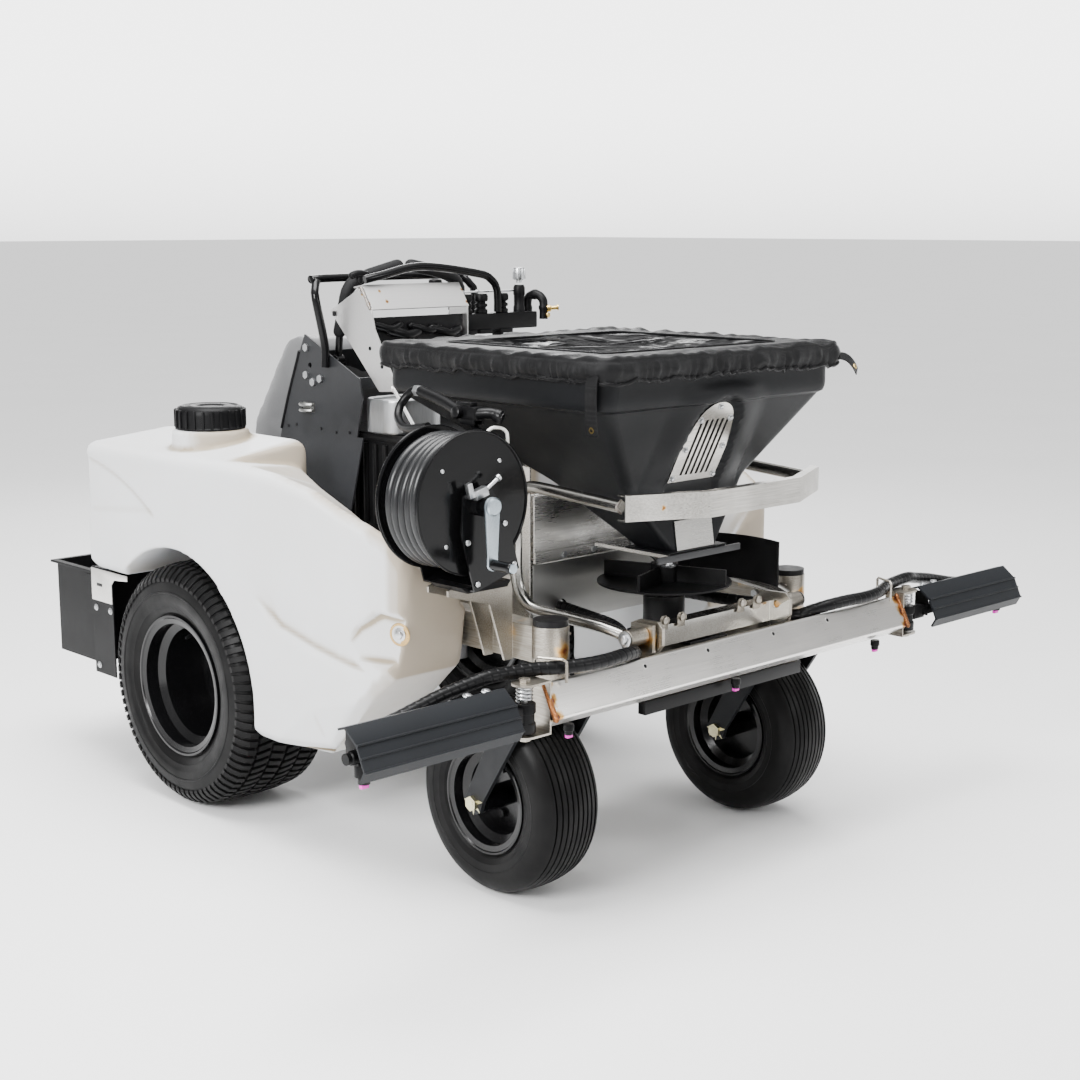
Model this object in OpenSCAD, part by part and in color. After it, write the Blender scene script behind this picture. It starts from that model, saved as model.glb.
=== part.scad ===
// Stand-on spreader sprayer: front hopper, twin saddle tanks, spray booms and hose reel.
// +X is the machine's left, the machine faces -Y, +Z is up, and z = 0 is the ground.

/* [Drive wheels] */
// Outer radius of a drive tyre
drive_r = 292; // [280:1:295]
// Width of a drive tyre
drive_w = 266; // [250:1:266]
// Distance from the centre plane to the middle of a drive tyre
drive_x = 475; // [474:1:478]
// Front-to-back place of the drive axle
drive_y = 282; // [280:1:284]

/* [Casters] */
// Outer radius of a caster tyre
caster_r = 203; // [195:1:205]
// Width of a caster tyre
caster_w = 165; // [155:1:168]
// Distance from the centre plane to a caster
caster_x = 378; // [376:1:380]
// Front-to-back place of the swivel axis
kingpin_y = -759; // [-762:1:-756]
// Distance the caster axle trails behind the swivel axis
caster_trail = 121; // [110:1:125]

/* [Hopper] */
// Half width of the hopper at its rim
hopper_half = 362; // [356:1:364]
// Height of the hopper rim
hopper_top = 1112; // [1108:1:1114]
// Wall thickness of the hopper
hopper_wall = 5; // [4:0.5:6]

/* [Tanks] */
// Wall thickness of a saddle tank
tank_wall = 8; // [5:0.5:9]
// Radius of the wheel arch in a tank
arch_r = 329; // [320:1:330]
// Place of the filler cap, from the centre plane
filler_x = 470; // [460:1:475]

/* [Booms] */
// Distance from the centre plane to a boom's pivot
boom_pivot_x = 605; // [602:1:608]
// Outer end of a boom, from the centre plane
boom_end = 1025; // [1000:5:1025]

/* [Spreader] */
// Radius of the spreading impeller
impeller_r = 145; // [130:1:155]
// Front-to-back place of the impeller shaft
impeller_y = -720; // [-724:1:-718]

/* [Hose reel] */
// Radius of the reel flanges
reel_r = 141; // [130:1:142]
// Outer diameter of the wound hose
reel_hose_d = 21; // [18:1:21]

/* [Hidden] */
$fn = 48;

gap = 0.3;          // clearance between bodies that move past each other
run = 0.05;         // radial clearance of a shaft in its bore
steel = "silver";
raw_steel = "darkgray";
black = "dimgray";

caster_axle_y = kingpin_y + caster_trail;
fork_top = 424;     // top of the caster fork's crown
kingpin_r = 15;
housing_z = [440, 580];
pivot_y = -925;     // boom pivot, front to back
beam_tilt = 28.6;   // the beam's square tube is turned about X by this angle
beam_centre = [-913.6, 477];
beam_side = 76;
reel_axis = [-530, 835];
reel_front_y = -699;
reel_rear_y = -581;
reel_tilt = 16;
crank_z = 722;      // height of the crank knob's axis
engine_y = 60;
pulley_z = 415;
hydro_pulley = [220, 250];
engine_pulley_r = 50;
hydro_pulley_r = 62;
lever_pivot = [178, 185, 1040];
belt_h = 10;

// Route of one feed hose, from the pump to the boom pivot, on the +X side
feed_route = [[130, -508, 552], [150, -560, 550], [165, -640, 548], [178, -720, 546],
    [196, -770, 544], [218, -805, 540], [240, -845, 526], [262, -876, 519], [284, -902, 531],
    [315, -926, 542], [360, -940, 547], [410, -945, 547], [460, -941, 547], [505, -928, 547],
    [535, -916, 548], [562, -906, 549]];
// Route of the hose along the back of one boom
boom_route = [[662, -889, 549], [700, -882, 542], [766, -876, 530], [815, -875, 519],
    [860, -875, 509], [915, -876, 499], [968, -877, 490]];
// Route of the short tail between the spray gun and the reel
gun_tail_route = [[-452, -446, 1031], [-454, -430, 1029], [-460, -418, 1018], [-472, -412, 1000],
    [-486, -420, 983], [-498, -440, 970], [-508, -466, 962], [-516, -496, 962],
    [-521, -526, 966], [-524, -550, 970], [-525, -562, 972]];
hose_r = 13;

// ---------- shared shapes ----------

module both_sides() {
    children();
    mirror([1, 0, 0]) children();
}

// Solid cylinder between two points
module strut(a, b, r) {
    v = b - a;
    len = norm(v);
    translate(a)
        rotate([0, acos(v[2] / len), atan2(v[1], v[0])])
            cylinder(h = len, r = r);
}

module block(from, to) {
    translate(from) cube(to - from);
}

// Flat plate drawn in the YZ plane, from x0 to x1
module plate_yz(points, x0, x1) {
    translate([x0, 0, 0])
        rotate([90, 0, 90])
            linear_extrude(x1 - x0) polygon(points);
}

// Flat plate drawn in the XZ plane, from y0 to y1
module plate_xz(points, y0, y1) {
    translate([0, y1, 0])
        rotate([90, 0, 0])
            linear_extrude(y1 - y0) polygon(points);
}

module rounded_block(from, to, r) {
    translate([from[0], from[1], from[2]])
        linear_extrude(to[2] - from[2]) {
            translate([r, 0]) square([to[0] - from[0] - 2 * r, to[1] - from[1]]);
            translate([0, r]) square([to[0] - from[0], to[1] - from[1] - 2 * r]);
            for (x = [r, to[0] - from[0] - r], y = [r, to[1] - from[1] - r])
                translate([x, y]) circle(r = r);
        }
}

// Turns a profile of [along the axle, radius] points about the X direction
module wheel_turn(points) {
    rotate([0, 90, 0])
        rotate_extrude($fn = 96)
            polygon([for (p = points) [p[1], p[0]]]);
}

// Cylinder along X
module x_rod(x0, x1, y, z, r) {
    translate([x0, y, z]) rotate([0, 90, 0]) cylinder(h = x1 - x0, r = r);
}

// Cylinder along Y
module y_rod(y0, y1, x, z, r) {
    translate([x, y1, z]) rotate([90, 0, 0]) cylinder(h = y1 - y0, r = r);
}

// Hexagon head with its axis along +Z
module hex(size, h) {
    cylinder(h = h, r = size / sqrt(3), $fn = 6);
}

// Closed skin over rings of points: every ring has the same count
module skin(rings) {
    n = len(rings[0]);
    m = len(rings);
    polyhedron(
        points = [for (ring = rings) for (p = ring) p],
        faces = concat(
            [[for (i = [0 : n - 1]) i]],
            [for (k = [0 : m - 2]) for (i = [0 : n - 1])
                [k * n + i, (k + 1) * n + i, k * n + (i + 1) % n]],
            [for (k = [0 : m - 2]) for (i = [0 : n - 1])
                [k * n + (i + 1) % n, (k + 1) * n + i, (k + 1) * n + (i + 1) % n]],
            [[for (i = [n - 1 : -1 : 0]) (m - 1) * n + i]]));
}

function unit(v) = v / norm(v);
function tangent(path, i) = unit(path[min(i + 1, len(path) - 1)] - path[max(i - 1, 0)]);

// Round tube of one polyhedron along a path that never runs along side
module tube(path, r, side = [0, 0, 1], sides = 12) {
    skin([for (i = [0 : len(path) - 1])
        let (t = tangent(path, i), s = unit(cross(t, side)), u = cross(t, s))
        [for (k = [0 : sides - 1])
            path[i] + r * (cos(360 * k / sides) * s + sin(360 * k / sides) * u)]]);
}

// ---------- frame ----------

module reel_bracket() {
    rib = [[-385, 492], [-407, 492], [-447, 614], [-556, 646], [-556, 658.5], [-425, 696],
        [-402, 700], [-385, 640]];
    plate_xz(rib, -655, -649);
    plate_xz(rib, -595, -589);
}

module main_frame() {
    color(raw_steel) difference() {
        union() {
            both_sides() {
                block([335, -735, 495], [385, -60, 570]);
                block([270, -35, 500], [320, 640, 560]);
                translate([caster_x, kingpin_y, housing_z[0]])
                    cylinder(h = housing_z[1] - housing_z[0], r = 37.5);
                block([300, -85, 500], [385, -35, 570]);
                for (x = [70, 214, 290])
                    plate_yz([[-849, 442], [-888.8, 442], [-865, 485], [-849, 492]], x, x + 8);
            }
            block([-385, -85, 500], [385, -35, 560]);
            block([-320, 590, 500], [320, 640, 560]);
            block([-352, -850, 440], [352, -800, 500]);
            block([-200, -850, 512], [200, -812, 556]);
            block([-335, -330, 500], [335, -280, 560]);
            block([-335, -520, 512], [335, -330, 516]);
            block([-320, -36, 560], [320, 430, 566]);
            both_sides()
                plate_yz([[-843, 499], [-856, 499], [-892, 518], [-892, 575], [-843, 575]], 214, 222);
            both_sides()
                plate_yz([[-818, 499], [-856, 499], [-892, 516], [-905, 532], [-905, 568], [-893, 580],
                    [-840, 578], [-818, 568]], 200, 208);
            reel_bracket();
        }
        both_sides()
            translate([caster_x, kingpin_y, housing_z[0] - 1])
                cylinder(h = 200, r = 22);
        translate([0, engine_y, 555]) cylinder(h = 20, r = 30);
        both_sides()
            x_rod(195, 240, -868, 552, 8);
    }
}

module kingpin_bushes() {
    color("goldenrod") both_sides()
        for (z = [housing_z[0], housing_z[1] - 32])
            translate([caster_x, kingpin_y, z]) difference() {
                cylinder(h = 32, r = 22);
                translate([0, 0, -1]) cylinder(h = 34, r = kingpin_r + run);
            }
    color(black) both_sides()
        translate([caster_x, kingpin_y, housing_z[1]]) cylinder(h = 12, r = 36);
}

module front_beam() {
    inner = beam_side - 8;
    color(steel) difference() {
        translate([0, beam_centre[0], beam_centre[1]])
            rotate([-beam_tilt, 0, 0]) difference() {
                block([-560, -beam_side / 2, -beam_side / 2], [560, beam_side / 2, beam_side / 2]);
                block([-561, -inner / 2, -inner / 2], [561, inner / 2, inner / 2]);
                for (x = [-292, -105, 105, 292])
                    translate([x, -beam_side / 2 - 1, 20]) rotate([-90, 0, 0]) cylinder(h = 6, r = 4);
            }
    }
}

module beam_brackets() {
    coil_turns = 4;
    coil_step = 24;
    color(steel) both_sides() {
        for (z = [[531, 535], [432, 436]])
            difference() {
                union() {
                    block([562, -950, z[0]], [605, -900, z[1]]);
                    translate([boom_pivot_x, pivot_y, z[0]]) cylinder(h = z[1] - z[0], r = 25);
                }
                translate([boom_pivot_x, pivot_y, z[0] - 1]) cylinder(h = 6, r = 6.08);
            }
        block([560.2, -950, 432], [564, -900, 535]);
        difference() {
            translate([boom_pivot_x, pivot_y, 426]) cylinder(h = 118, r = 6);
            translate([boom_pivot_x, pivot_y, 420]) cylinder(h = 3, r = 7);
        }
        translate([boom_pivot_x, pivot_y, 535.2]) hex(19, 8);
        translate([boom_pivot_x, pivot_y, 424]) hex(19, 7.8);
        tube([[516, -945, 522], [516, -945, 562], [520, -939, 566], [540, -894, 566], [544, -888, 562],
            [544, -888, 509]], 3, [1, 0, 0], 8);
        translate([boom_pivot_x, pivot_y, 500])
            skin([for (i = [0 : coil_turns * coil_step])
                let (a = 360 * i / coil_step, c = [cos(a), sin(a), 0])
                [for (k = [0 : 5])
                    (14.5 + 2.2 * cos(60 * k)) * c
                    + [0, 0, 28 * i / (coil_turns * coil_step) - 2.2 * sin(60 * k)]]]);
    }
}

module platform() {
    color(black) {
        both_sides()
            plate_yz([[600, 556], [600, 230], [980, 230], [980, 262], [720, 300], [660, 556]],
                320.3, 326.3);
        block([-320.3, 640, 230], [320.3, 980, 236]);
        block([-320.3, 974, 236], [320.3, 980, 262]);
    }
    color("dimgray") block([-305, 655, 236], [305, 965, 244]);
}

// ---------- drive wheels ----------

module drive_tyre() {
    half = drive_w / 2;
    bead_r = 152.6;
    side_r = (drive_r + 168) / 2;
    outer = [for (t = [0 : 10 : 180])
        [half * sign(cos(t)) * pow(abs(cos(t)), 0.35), side_r + (drive_r - side_r) * pow(sin(t), 0.45)]];
    inner = [for (t = [180 : -15 : 0])
        [(half - 12) * sign(cos(t)) * pow(abs(cos(t)), 0.45),
            side_r + (drive_r - side_r - 16) * pow(sin(t), 0.5)]];
    color("#222222") translate([drive_x, drive_y, drive_r])
        wheel_turn(concat([[114, bead_r], [115, 172], [128, 200]], outer,
            [[-128, 200], [-115, 172], [-114, bead_r], [-98, bead_r], [-98, 172]], inner,
            [[98, 172], [98, bead_r]]));
}

module drive_wheel() {
    lip = 122;
    seat = 116;
    color("#111111") translate([drive_x, drive_y, drive_r]) {
        wheel_turn([[-lip, 168], [-seat, 168], [-seat, 152.4], [-78, 152.4], [-66, 135], [70, 135],
            [82, 152.4], [seat, 152.4], [seat, 168], [lip, 168], [lip, 163], [seat + 3, 160],
            [seat, 148], [84, 148], [73, 131], [-34, 131], [-34, 42], [-44, 42], [-44, 131], [-68, 131],
            [-80, 148], [-seat, 148], [-seat - 3, 160], [-lip, 163]]);
        for (a = [0 : 72 : 288])
            rotate([a, 0, 0]) translate([-34, 57, 0]) rotate([0, 90, 0]) hex(22, 14);
    }
    color(steel) translate([drive_x, drive_y, drive_r])
        wheel_turn([[-54, 0], [-54, 17.5], [-190, 17.5], [-190, 0]]);
    color(steel) translate([drive_x, drive_y, drive_r])
        wheel_turn([[-54, 0], [-54, 70], [-44.2, 70], [-44.2, 41.8], [-24, 41.8], [-24, 0]]);
}

// ---------- casters ----------

module caster_fork() {
    leg = [[kingpin_y - 30, fork_top], [kingpin_y - 30, 400], [caster_axle_y - 28, 210],
        [caster_axle_y - 20, 185], [caster_axle_y, 177], [caster_axle_y + 20, 185],
        [caster_axle_y + 28, 205], [kingpin_y + 45, 400], [kingpin_y + 45, fork_top]];
    color("#3a3a3d") difference() {
        union() {
            block([caster_x - 102, kingpin_y - 30, 414], [caster_x + 102, kingpin_y + 45, fork_top]);
            for (s = [-1, 1])
                plate_yz(leg, caster_x + s * 97 - 5, caster_x + s * 97 + 5);
            translate([caster_x, kingpin_y, fork_top - 1]) cylinder(h = 12, r = 28);
            translate([caster_x, kingpin_y, fork_top - 1]) cylinder(h = 154, r = kingpin_r);
        }
        x_rod(caster_x - 110, caster_x + 110, caster_axle_y, caster_r, 9.7);
    }
    color("gold") {
        x_rod(caster_x - 112, caster_x + 112, caster_axle_y, caster_r, 9.5);
        both_sides_of_caster() x_hex(102.2, 9);
    }
}

module both_sides_of_caster() {
    for (s = [0, 1])
        translate([caster_x, caster_axle_y, caster_r]) mirror([s, 0, 0]) children();
}

module x_hex(x, h) {
    translate([x, 0, 0]) rotate([0, 90, 0]) hex(28, h);
}

module caster_rim() {
    lip = 74;
    seat = 69;
    color("#111111") translate([caster_x, caster_axle_y, caster_r]) {
        wheel_turn([[-lip, 115], [-seat, 115], [-seat, 101.6], [-44, 101.6], [-34, 86], [34, 86],
            [44, 101.6], [seat, 101.6], [seat, 115], [lip, 115], [lip, 111], [seat + 2, 109],
            [seat, 98], [45, 98], [36, 82], [4, 82], [4, 25], [-4, 25], [-4, 82], [-36, 82], [-45, 98],
            [-seat, 98], [-seat - 2, 109], [-lip, 111]]);
        for (a = [0 : 72 : 288])
            rotate([a, 0, 0]) translate([4, 50, 0]) rotate([0, 90, 0]) hex(17, 9);
    }
    color(steel) translate([caster_x, caster_axle_y, caster_r])
        wheel_turn([[-84, 9.5 + run], [-84, 24.8], [84, 24.8], [84, 9.5 + run]]);
}

module caster_tyre() {
    half = caster_w / 2;
    bead_r = 101.8;
    side_r = (caster_r + 115) / 2;
    outer = [for (t = [0 : 10 : 180])
        [half * sign(cos(t)) * pow(abs(cos(t)), 0.6), side_r + (caster_r - side_r) * pow(sin(t), 0.7)]];
    inner = [for (t = [180 : -15 : 0])
        [(half - 10) * sign(cos(t)) * pow(abs(cos(t)), 0.6),
            side_r + (caster_r - side_r - 11) * pow(sin(t), 0.7)]];
    color("#222222") translate([caster_x, caster_axle_y, caster_r])
        wheel_turn(concat([[68, bead_r], [68.6, 118], [76, 138]], outer,
            [[-76, 138], [-68.6, 118], [-68, bead_r], [-56, bead_r], [-56, 118]], inner,
            [[56, 118], [56, bead_r]]));
}

// ---------- saddle tanks ----------

// [y, bottom, outer top, inner top, inner x, outer x] of the tank's cross sections, rear to front
tank_sections = [
    [669, 530, 832, 850, 352, 592], [655, 522, 840, 860, 345, 600], [549, 522, 842, 868, 345, 603],
    [293, 522, 843, 875, 345, 603], [110, 400, 846, 875, 345, 605], [85, 300, 847, 868, 350, 606],
    [72, 262, 847, 818, 372, 607], [-28, 240, 847, 787, 391, 610], [-148, 238, 840, 744, 392, 613],
    [-275, 244, 821, 690, 392, 614], [-360, 322, 792, 648, 392, 612], [-450, 404, 766, 606, 392, 604],
    [-505, 455, 740, 590, 393, 590], [-528, 560, 708, 600, 400, 575], [-536, 610, 670, 625, 420, 560]];

function tank_ring(s, inset, chamfer) =
    let (y = s[0], zb = s[1] + inset, zo = s[2] - inset, zi = s[3] - inset,
        xi = s[4] + inset, xo = s[5] - inset, c = min(chamfer, (s[2] - s[1]) / 4))
    [[xi + c / 2, y, zb], [xo - c, y, zb], [xo, y, zb + c], [xo, y, zo - c],
        [xo - c * 0.3, y, zo - c * 0.3], [xo - c, y, zo], [xi + c, y, zi],
        [xi + c * 0.3, y, zi - c * 0.3], [xi, y, zi - c], [xi, y, zb + c / 2]];

module tank() {
    neck_z = 845;
    color("ivory") difference() {
        union() {
            difference() {
                skin([for (s = tank_sections) tank_ring(s, 0, 22)]);
                x_rod(300, 640, drive_y, drive_r, arch_r);
            }
            translate([filler_x, 300, neck_z]) cylinder(h = 48, r = 90);
            translate([filler_x, 300, neck_z]) cylinder(h = 85, r = 70);
        }
        difference() {
            skin([for (i = [1 : len(tank_sections) - 3]) tank_ring(tank_sections[i], tank_wall, 18)]);
            x_rod(300, 640, drive_y, drive_r, arch_r + tank_wall);
        }
        translate([filler_x, 300, neck_z - 30]) cylinder(h = 130, r = 62);
    }
}

module tank_cap() {
    color("#1c1c1c") translate([filler_x, 300, 893 + gap]) difference() {
        union() {
            cylinder(h = 54, r = 80, $fn = 72);
            for (a = [0 : 15 : 345])
                rotate(a) translate([79, -3, 4]) cube([4, 6, 44]);
        }
        translate([0, 0, -1]) cylinder(h = 45, r = 70 + gap);
    }
}

// ---------- hopper ----------

// [z, half width, front y, rear y] of the hopper's outline, from the outlet up
hopper_levels = [[690, 70, -806, -700], [831, 187, -784, -550], [1010, 350, -873, -230],
    [hopper_top, hopper_half, -897, -205]];

function hopper_ring(l, inset, c) =
    let (x = l[1] - inset, f = l[2] + inset, r = l[3] - inset)
    [[-x + c, f, l[0]], [x - c, f, l[0]], [x, f + c, l[0]], [x, r - c, l[0]],
        [x - c, r, l[0]], [-x + c, r, l[0]], [-x, r - c, l[0]], [-x, f + c, l[0]]];

module hopper() {
    flange_z = 690;
    top = hopper_levels[3];
    color("#333336") difference() {
        union() {
            skin([for (l = hopper_levels) hopper_ring(l, 0, 22)]);
            block([-92, -815, flange_z], [92, -690, flange_z + 4]);
        }
        skin(concat([hopper_ring([flange_z - 1, 70, -806, -700], hopper_wall, 18)],
            [for (i = [1, 2]) hopper_ring(hopper_levels[i], hopper_wall, 20)],
            [hopper_ring([top[0] + 1, top[1], top[2], top[3]], hopper_wall, 20)]));
    }
}

// Slotted plate on the sloping front wall
module hopper_window() {
    slope = atan2(89, 179);
    color(steel) translate([0, -784, 831]) rotate([90 + slope, 0, 0]) translate([0, 0, 0.4])
        linear_extrude(3) difference() {
            hull() {
                translate([-72, 8]) square([144, 96]);
                translate([0, 140]) circle(r = 58);
            }
            for (x = [-40 : 16 : 40])
                translate([x - 4, 24]) square([8, 134]);
        }
}

module hopper_cover() {
    hem_z = 1068;
    top_z = 1118;
    inner = 0.6;
    color("#18181a") difference() {
        rounded_block([-374, -904, hem_z], [374, -198, top_z], 24);
        rounded_block([-hopper_half - inner, -897 - inner, hem_z - 1],
            [hopper_half + inner, -205 + inner, hopper_top + inner], 14);
    }
}

module hopper_stand() {
    color(steel) {
        both_sides() {
            plate_yz([[-552, 516.2], [-552, 862], [-400, 872], [-330.2, 800], [-330.2, 516.2]], 236, 240);
            block([200, -541, 516.2], [236.5, -537, 800]);
            plate_yz([[-815, 689.8], [-600, 689.8], [-600, 682], [-815, 682]], 88, 92);
        }
        // Chute plate on the front of the hopper's funnel
        plate_yz([[-806.5, 694.5], [-809.5, 694.5], [-800, 756], [-796.6, 756]], -58, 58);
    }
}

module gate_plate() {
    color(raw_steel) difference() {
        block([-87.5, -812, 684.5], [87.5, -690, 688.5]);
        translate([0, -700, 684]) cylinder(h = 6, r = 4);
    }
}

// Push-pull handle that opens the gate, beside the console
module gate_handle() {
    color("#151515") {
        translate([-175, 100, 1118]) cylinder(h = 126, r = 4);
        x_rod(-197, -153, 100, 1250, 9);
    }
}

// ---------- front bumper ----------

module bumper_outline(inset, depth) {
    f = -972 + inset;
    polygon([[-305, -893 + inset], [-139, f], [139, f], [305, -893 + inset],
        [305, -893 + depth], [139, -972 + depth], [-139, -972 + depth], [-305, -893 + depth]]);
}

module front_bumper() {
    color(steel) {
        translate([0, 0, 795]) linear_extrude(52) bumper_outline(0, 3);
        translate([0, 0, 844]) linear_extrude(3) bumper_outline(0, 22);
        translate([0, 0, 795]) linear_extrude(3) bumper_outline(0, 22);
    }
}

module bumper_tubes() {
    color(steel) both_sides() {
        tube([[297, -872, 822], [300, -640, 835], [300, -604, 829], [300, -582, 808], [300, -575, 780],
            [300, -575, 650], [299, -584, 612], [298, -602, 590], [295, -630, 578], [275, -800, 566],
            [264, -850.5, 556]], 13, [1, 0, 0]);
        difference() {
            x_rod(223, 274, -868, 552, 17);
            x_rod(220, 280, -868, 552, 7.9);
        }
        x_rod(206, 280, -868, 552, 7.7);
        translate([280, -868, 552]) rotate([0, 90, 0]) hex(20, 6);
    }
}

// ---------- impeller ----------

module impeller() {
    disc_z = 608;
    color("#1a1a1a") translate([0, impeller_y, 0]) {
        translate([0, 0, disc_z]) difference() {
            cylinder(h = 4, r = impeller_r, $fn = 96);
            translate([0, 0, -1]) cylinder(h = 6, r = 20);
        }
        for (a = [20 : 90 : 290])
            rotate(a) translate([28, -3, disc_z + 3.9]) cube([impeller_r - 32, 6, 34]);
        translate([0, 0, disc_z - 8]) cylinder(h = 50, r = 30);
    }
    color(steel) translate([0, impeller_y, 540]) cylinder(h = disc_z - 544, r = 8);
}

module impeller_motor() {
    color("#2a2a2a") difference() {
        union() {
            translate([0, impeller_y, 506]) cylinder(h = 76, r = 45);
            block([-60, -849, 500.2], [60, -668, 506.2]);
        }
        translate([0, impeller_y, 530]) cylinder(h = 60, r = 8 + run);
    }
}

module splash_panels() {
    color(steel) {
        block([-234, -560, 655], [234, -557, 800]);
        block([-234, -563.2, 655], [234, -560.2, 680]);
        difference() {
            block([-234, -556.8, 516.2], [234, -554, 652]);
            both_sides() y_rod(-560, -550, 149, 550, 17);
        }
    }
    color("#2a2a2a") translate([0, -775, 585])
        rotate(-20) rotate_extrude(angle = 62, $fn = 96)
            translate([232, 0]) square([4, 100]);
    color("#2a2a2a") block([200, -630, 584], [240, -553.2, 590]);
}

// ---------- hose reel ----------

module reel_frame_place() {
    translate([reel_axis[0], 0, reel_axis[1]]) rotate([0, -reel_tilt, 0]) children();
}

module reel_stand() {
    side = [[-60, -162], [62, -162], [60, -40], [34, 30], [-34, 30], [-60, -40]];
    color("#151515") reel_frame_place() difference() {
        union() {
            plate_xz(side, -719, -715);
            plate_xz(side, -567, -563);
            block([-60, -719, -162], [62, -563, -158]);
            y_rod(-733, -715, 0, 0, 22);
        }
        y_rod(-740, -550, 0, 0, 12 + run);
    }
}

module reel_drum() {
    color("#151515") translate([reel_axis[0], 0, reel_axis[1]]) {
        for (y = [reel_front_y, reel_rear_y])
            difference() {
                y_rod(y - 1, y + 1, 0, 0, reel_r);
                y_rod(y - 2, y + 2, 0, 0, 13);
            }
        for (y = [reel_front_y, reel_rear_y])
            rotate([-90, 0, 0]) translate([0, 0, y - 2.5])
                rotate_extrude($fn = 96) translate([reel_r - 3, 0]) square([3, 5]);
        difference() {
            y_rod(reel_front_y + 1, reel_rear_y - 1, 0, 0, 60);
            y_rod(reel_front_y, reel_rear_y, 0, 0, 56);
        }
        difference() {
            y_rod(reel_front_y - 9, reel_rear_y + 9, 0, 0, 24);
            y_rod(reel_front_y - 10, reel_rear_y + 10, 0, 0, 12);
        }
    }
    color(steel) y_rod(-752, -560, reel_axis[0], reel_axis[1], 12);
}

module reel_hose() {
    wraps = 5;
    layers = 4;
    pitch = reel_hose_d;
    nest = 0.866 * pitch;   // each layer lies in the hollows of the one below
    width = wraps * pitch;
    start = (reel_front_y + reel_rear_y - width) / 2;
    color("#2c2c2e") translate([reel_axis[0], start, reel_axis[1]])
        rotate([-90, 0, 0]) rotate_extrude($fn = 96)
            polygon(concat([[60.2, 0], [60.2, width]],
                [for (k = [wraps - 1 : -1 : 0]) for (t = [180 : -45 : 0])
                    [60.2 + (layers - 1) * nest + pitch / 2 * (1 + sin(t)),
                        (k + 0.5) * pitch - pitch / 2 * cos(t)]]));
}

module reel_crank() {
    x = reel_axis[0];
    color("lightgray") {
        y_rod(-758, -752.2, x, reel_axis[1], 16);
        plate_xz([[x - 12, reel_axis[1]], [x + 12, reel_axis[1]], [x + 12, crank_z], [x - 12, crank_z]],
            -758, -752.2);
        y_rod(-758, -752.2, x, crank_z, 12);
        y_rod(-812, -758, x, crank_z, 6);
        y_rod(-816, -812, x, crank_z, 9);
    }
}

module reel_knob() {
    color("#101010") difference() {
        y_rod(-811.7, -758.5, reel_axis[0], crank_z, 11);
        y_rod(-820, -750, reel_axis[0], crank_z, 6 + run);
    }
}

// ---------- spray gun ----------

module spray_gun() {
    color("#151515") {
        difference() {
            union() {
                tube([[-452, -452, 1030], [-462, -540, 1014], [-478, -612, 998]], 11);
                rounded_block([-487, -656, 978], [-459, -604, 1014], 8);
            }
            block([-481, -662, 972], [-465, -608, 996]);
        }
        tube([[-473, -650, 1000], [-456, -680, 1001], [-450, -692, 996]], 12);
    }
    color("white") {
        tube([[-446, -562.6, 872], [-446, -562.6, 974], [-462, -562.6, 998]], 3, [0, 1, 0], 8);
    }
}

module gun_trigger() {
    color("#b0302a") {
        x_rod(-478, -468, -634, 982, 4);
        plate_yz([[-640, 986], [-628, 986], [-640, 968], [-668, 964], [-694, 972], [-690, 977], [-666, 971],
            [-648, 974]], -478, -468);
    }
}

// ---------- control tower ----------

module control_tower() {
    flare = atan2(72, 304);
    color("#26262a") both_sides() {
        difference() {
            union() {
                plate_yz([[60, 868], [37, 963], [47, 1009], [259, 1104], [282, 1058], [361, 868]], 218, 222);
                translate([218, 0, 870]) rotate([0, 180 - flare, 0]) mirror([1, 0, 0])
                    block([0, 37, 0], [4, 361, 312]);
            }
            translate([200, 130, 640]) rotate([0, 90, 0]) cylinder(h = 140, r = 45);
            x_rod(210, 230, 240, 1030, 7);
        }
        x_rod(166, 218.2, lever_pivot[1], lever_pivot[2], 6);
    }
    color("#26262a") {
        plate_yz([[275, 1060], [279, 1062], [361, 870], [357, 868]], -217.8, 217.8);
        block([-217.8, 60, 985], [217.8, 64, 1010]);
    }
}

module operator_pad() {
    color("#3c3c40")
        plate_yz([[284, 1062], [290, 1082], [310, 1094], [345, 1096], [385, 1082], [428, 1034],
            [500, 930], [533, 875], [542, 830], [536, 800], [500, 790], [400, 790], [372, 800],
            [366, 870]], -200, 200);
}

module console_bracket() {
    wing = [[180, 1162], [70, 1217], [23, 1167], [13, 1126], [-65, 997], [-58, 985], [-2, 981]];
    hood = [[93, 1221], [60, 1226], [23, 1170], [26, 1168], [62, 1222], [93, 1218]];
    color(steel) difference() {
        union() {
            plate_yz(wing, -202, -198);
            plate_yz(hood, -197.8, 100);
            plate_yz([[93, 1218], [62, 1222], [26, 1168], [26, 1090], [93, 1090]], 97, 100);
            block([-198, 92, 1140], [-167, 108, 1158]);
        }
        translate([-175, 100, 1130]) cylinder(h = 50, r = 4 + run);
    }
    color("#1a1a1a") {
        block([-197.6, 44, 1060], [96.6, 50, 1150]);
        translate([40, 78, 1222]) sphere(r = 14);
    }
}

module handlebars() {
    rear_bar = [[-232.3, 165, 1030], [-232.3, 165, 1085], [-250, 172, 1190], [-246, 180, 1212],
        [-232, 192, 1230], [-205, 203, 1238]];
    color("#1b1b1d") {
        tube(concat(rear_bar, [for (i = [len(rear_bar) - 1 : -1 : 0])
            [-rear_bar[i][0], rear_bar[i][1], rear_bar[i][2]]]), 10, [0, 1, 0]);
        tube([[-190, 61, 1238], [-150, 54, 1246], [-24, 52, 1266], [150, 46, 1246], [192, 43, 1230],
            [208, 42, 1210], [212, 42, 1185], [212, 42, 1150.5]], 10, [0, 1, 0]);
    }
}

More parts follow.
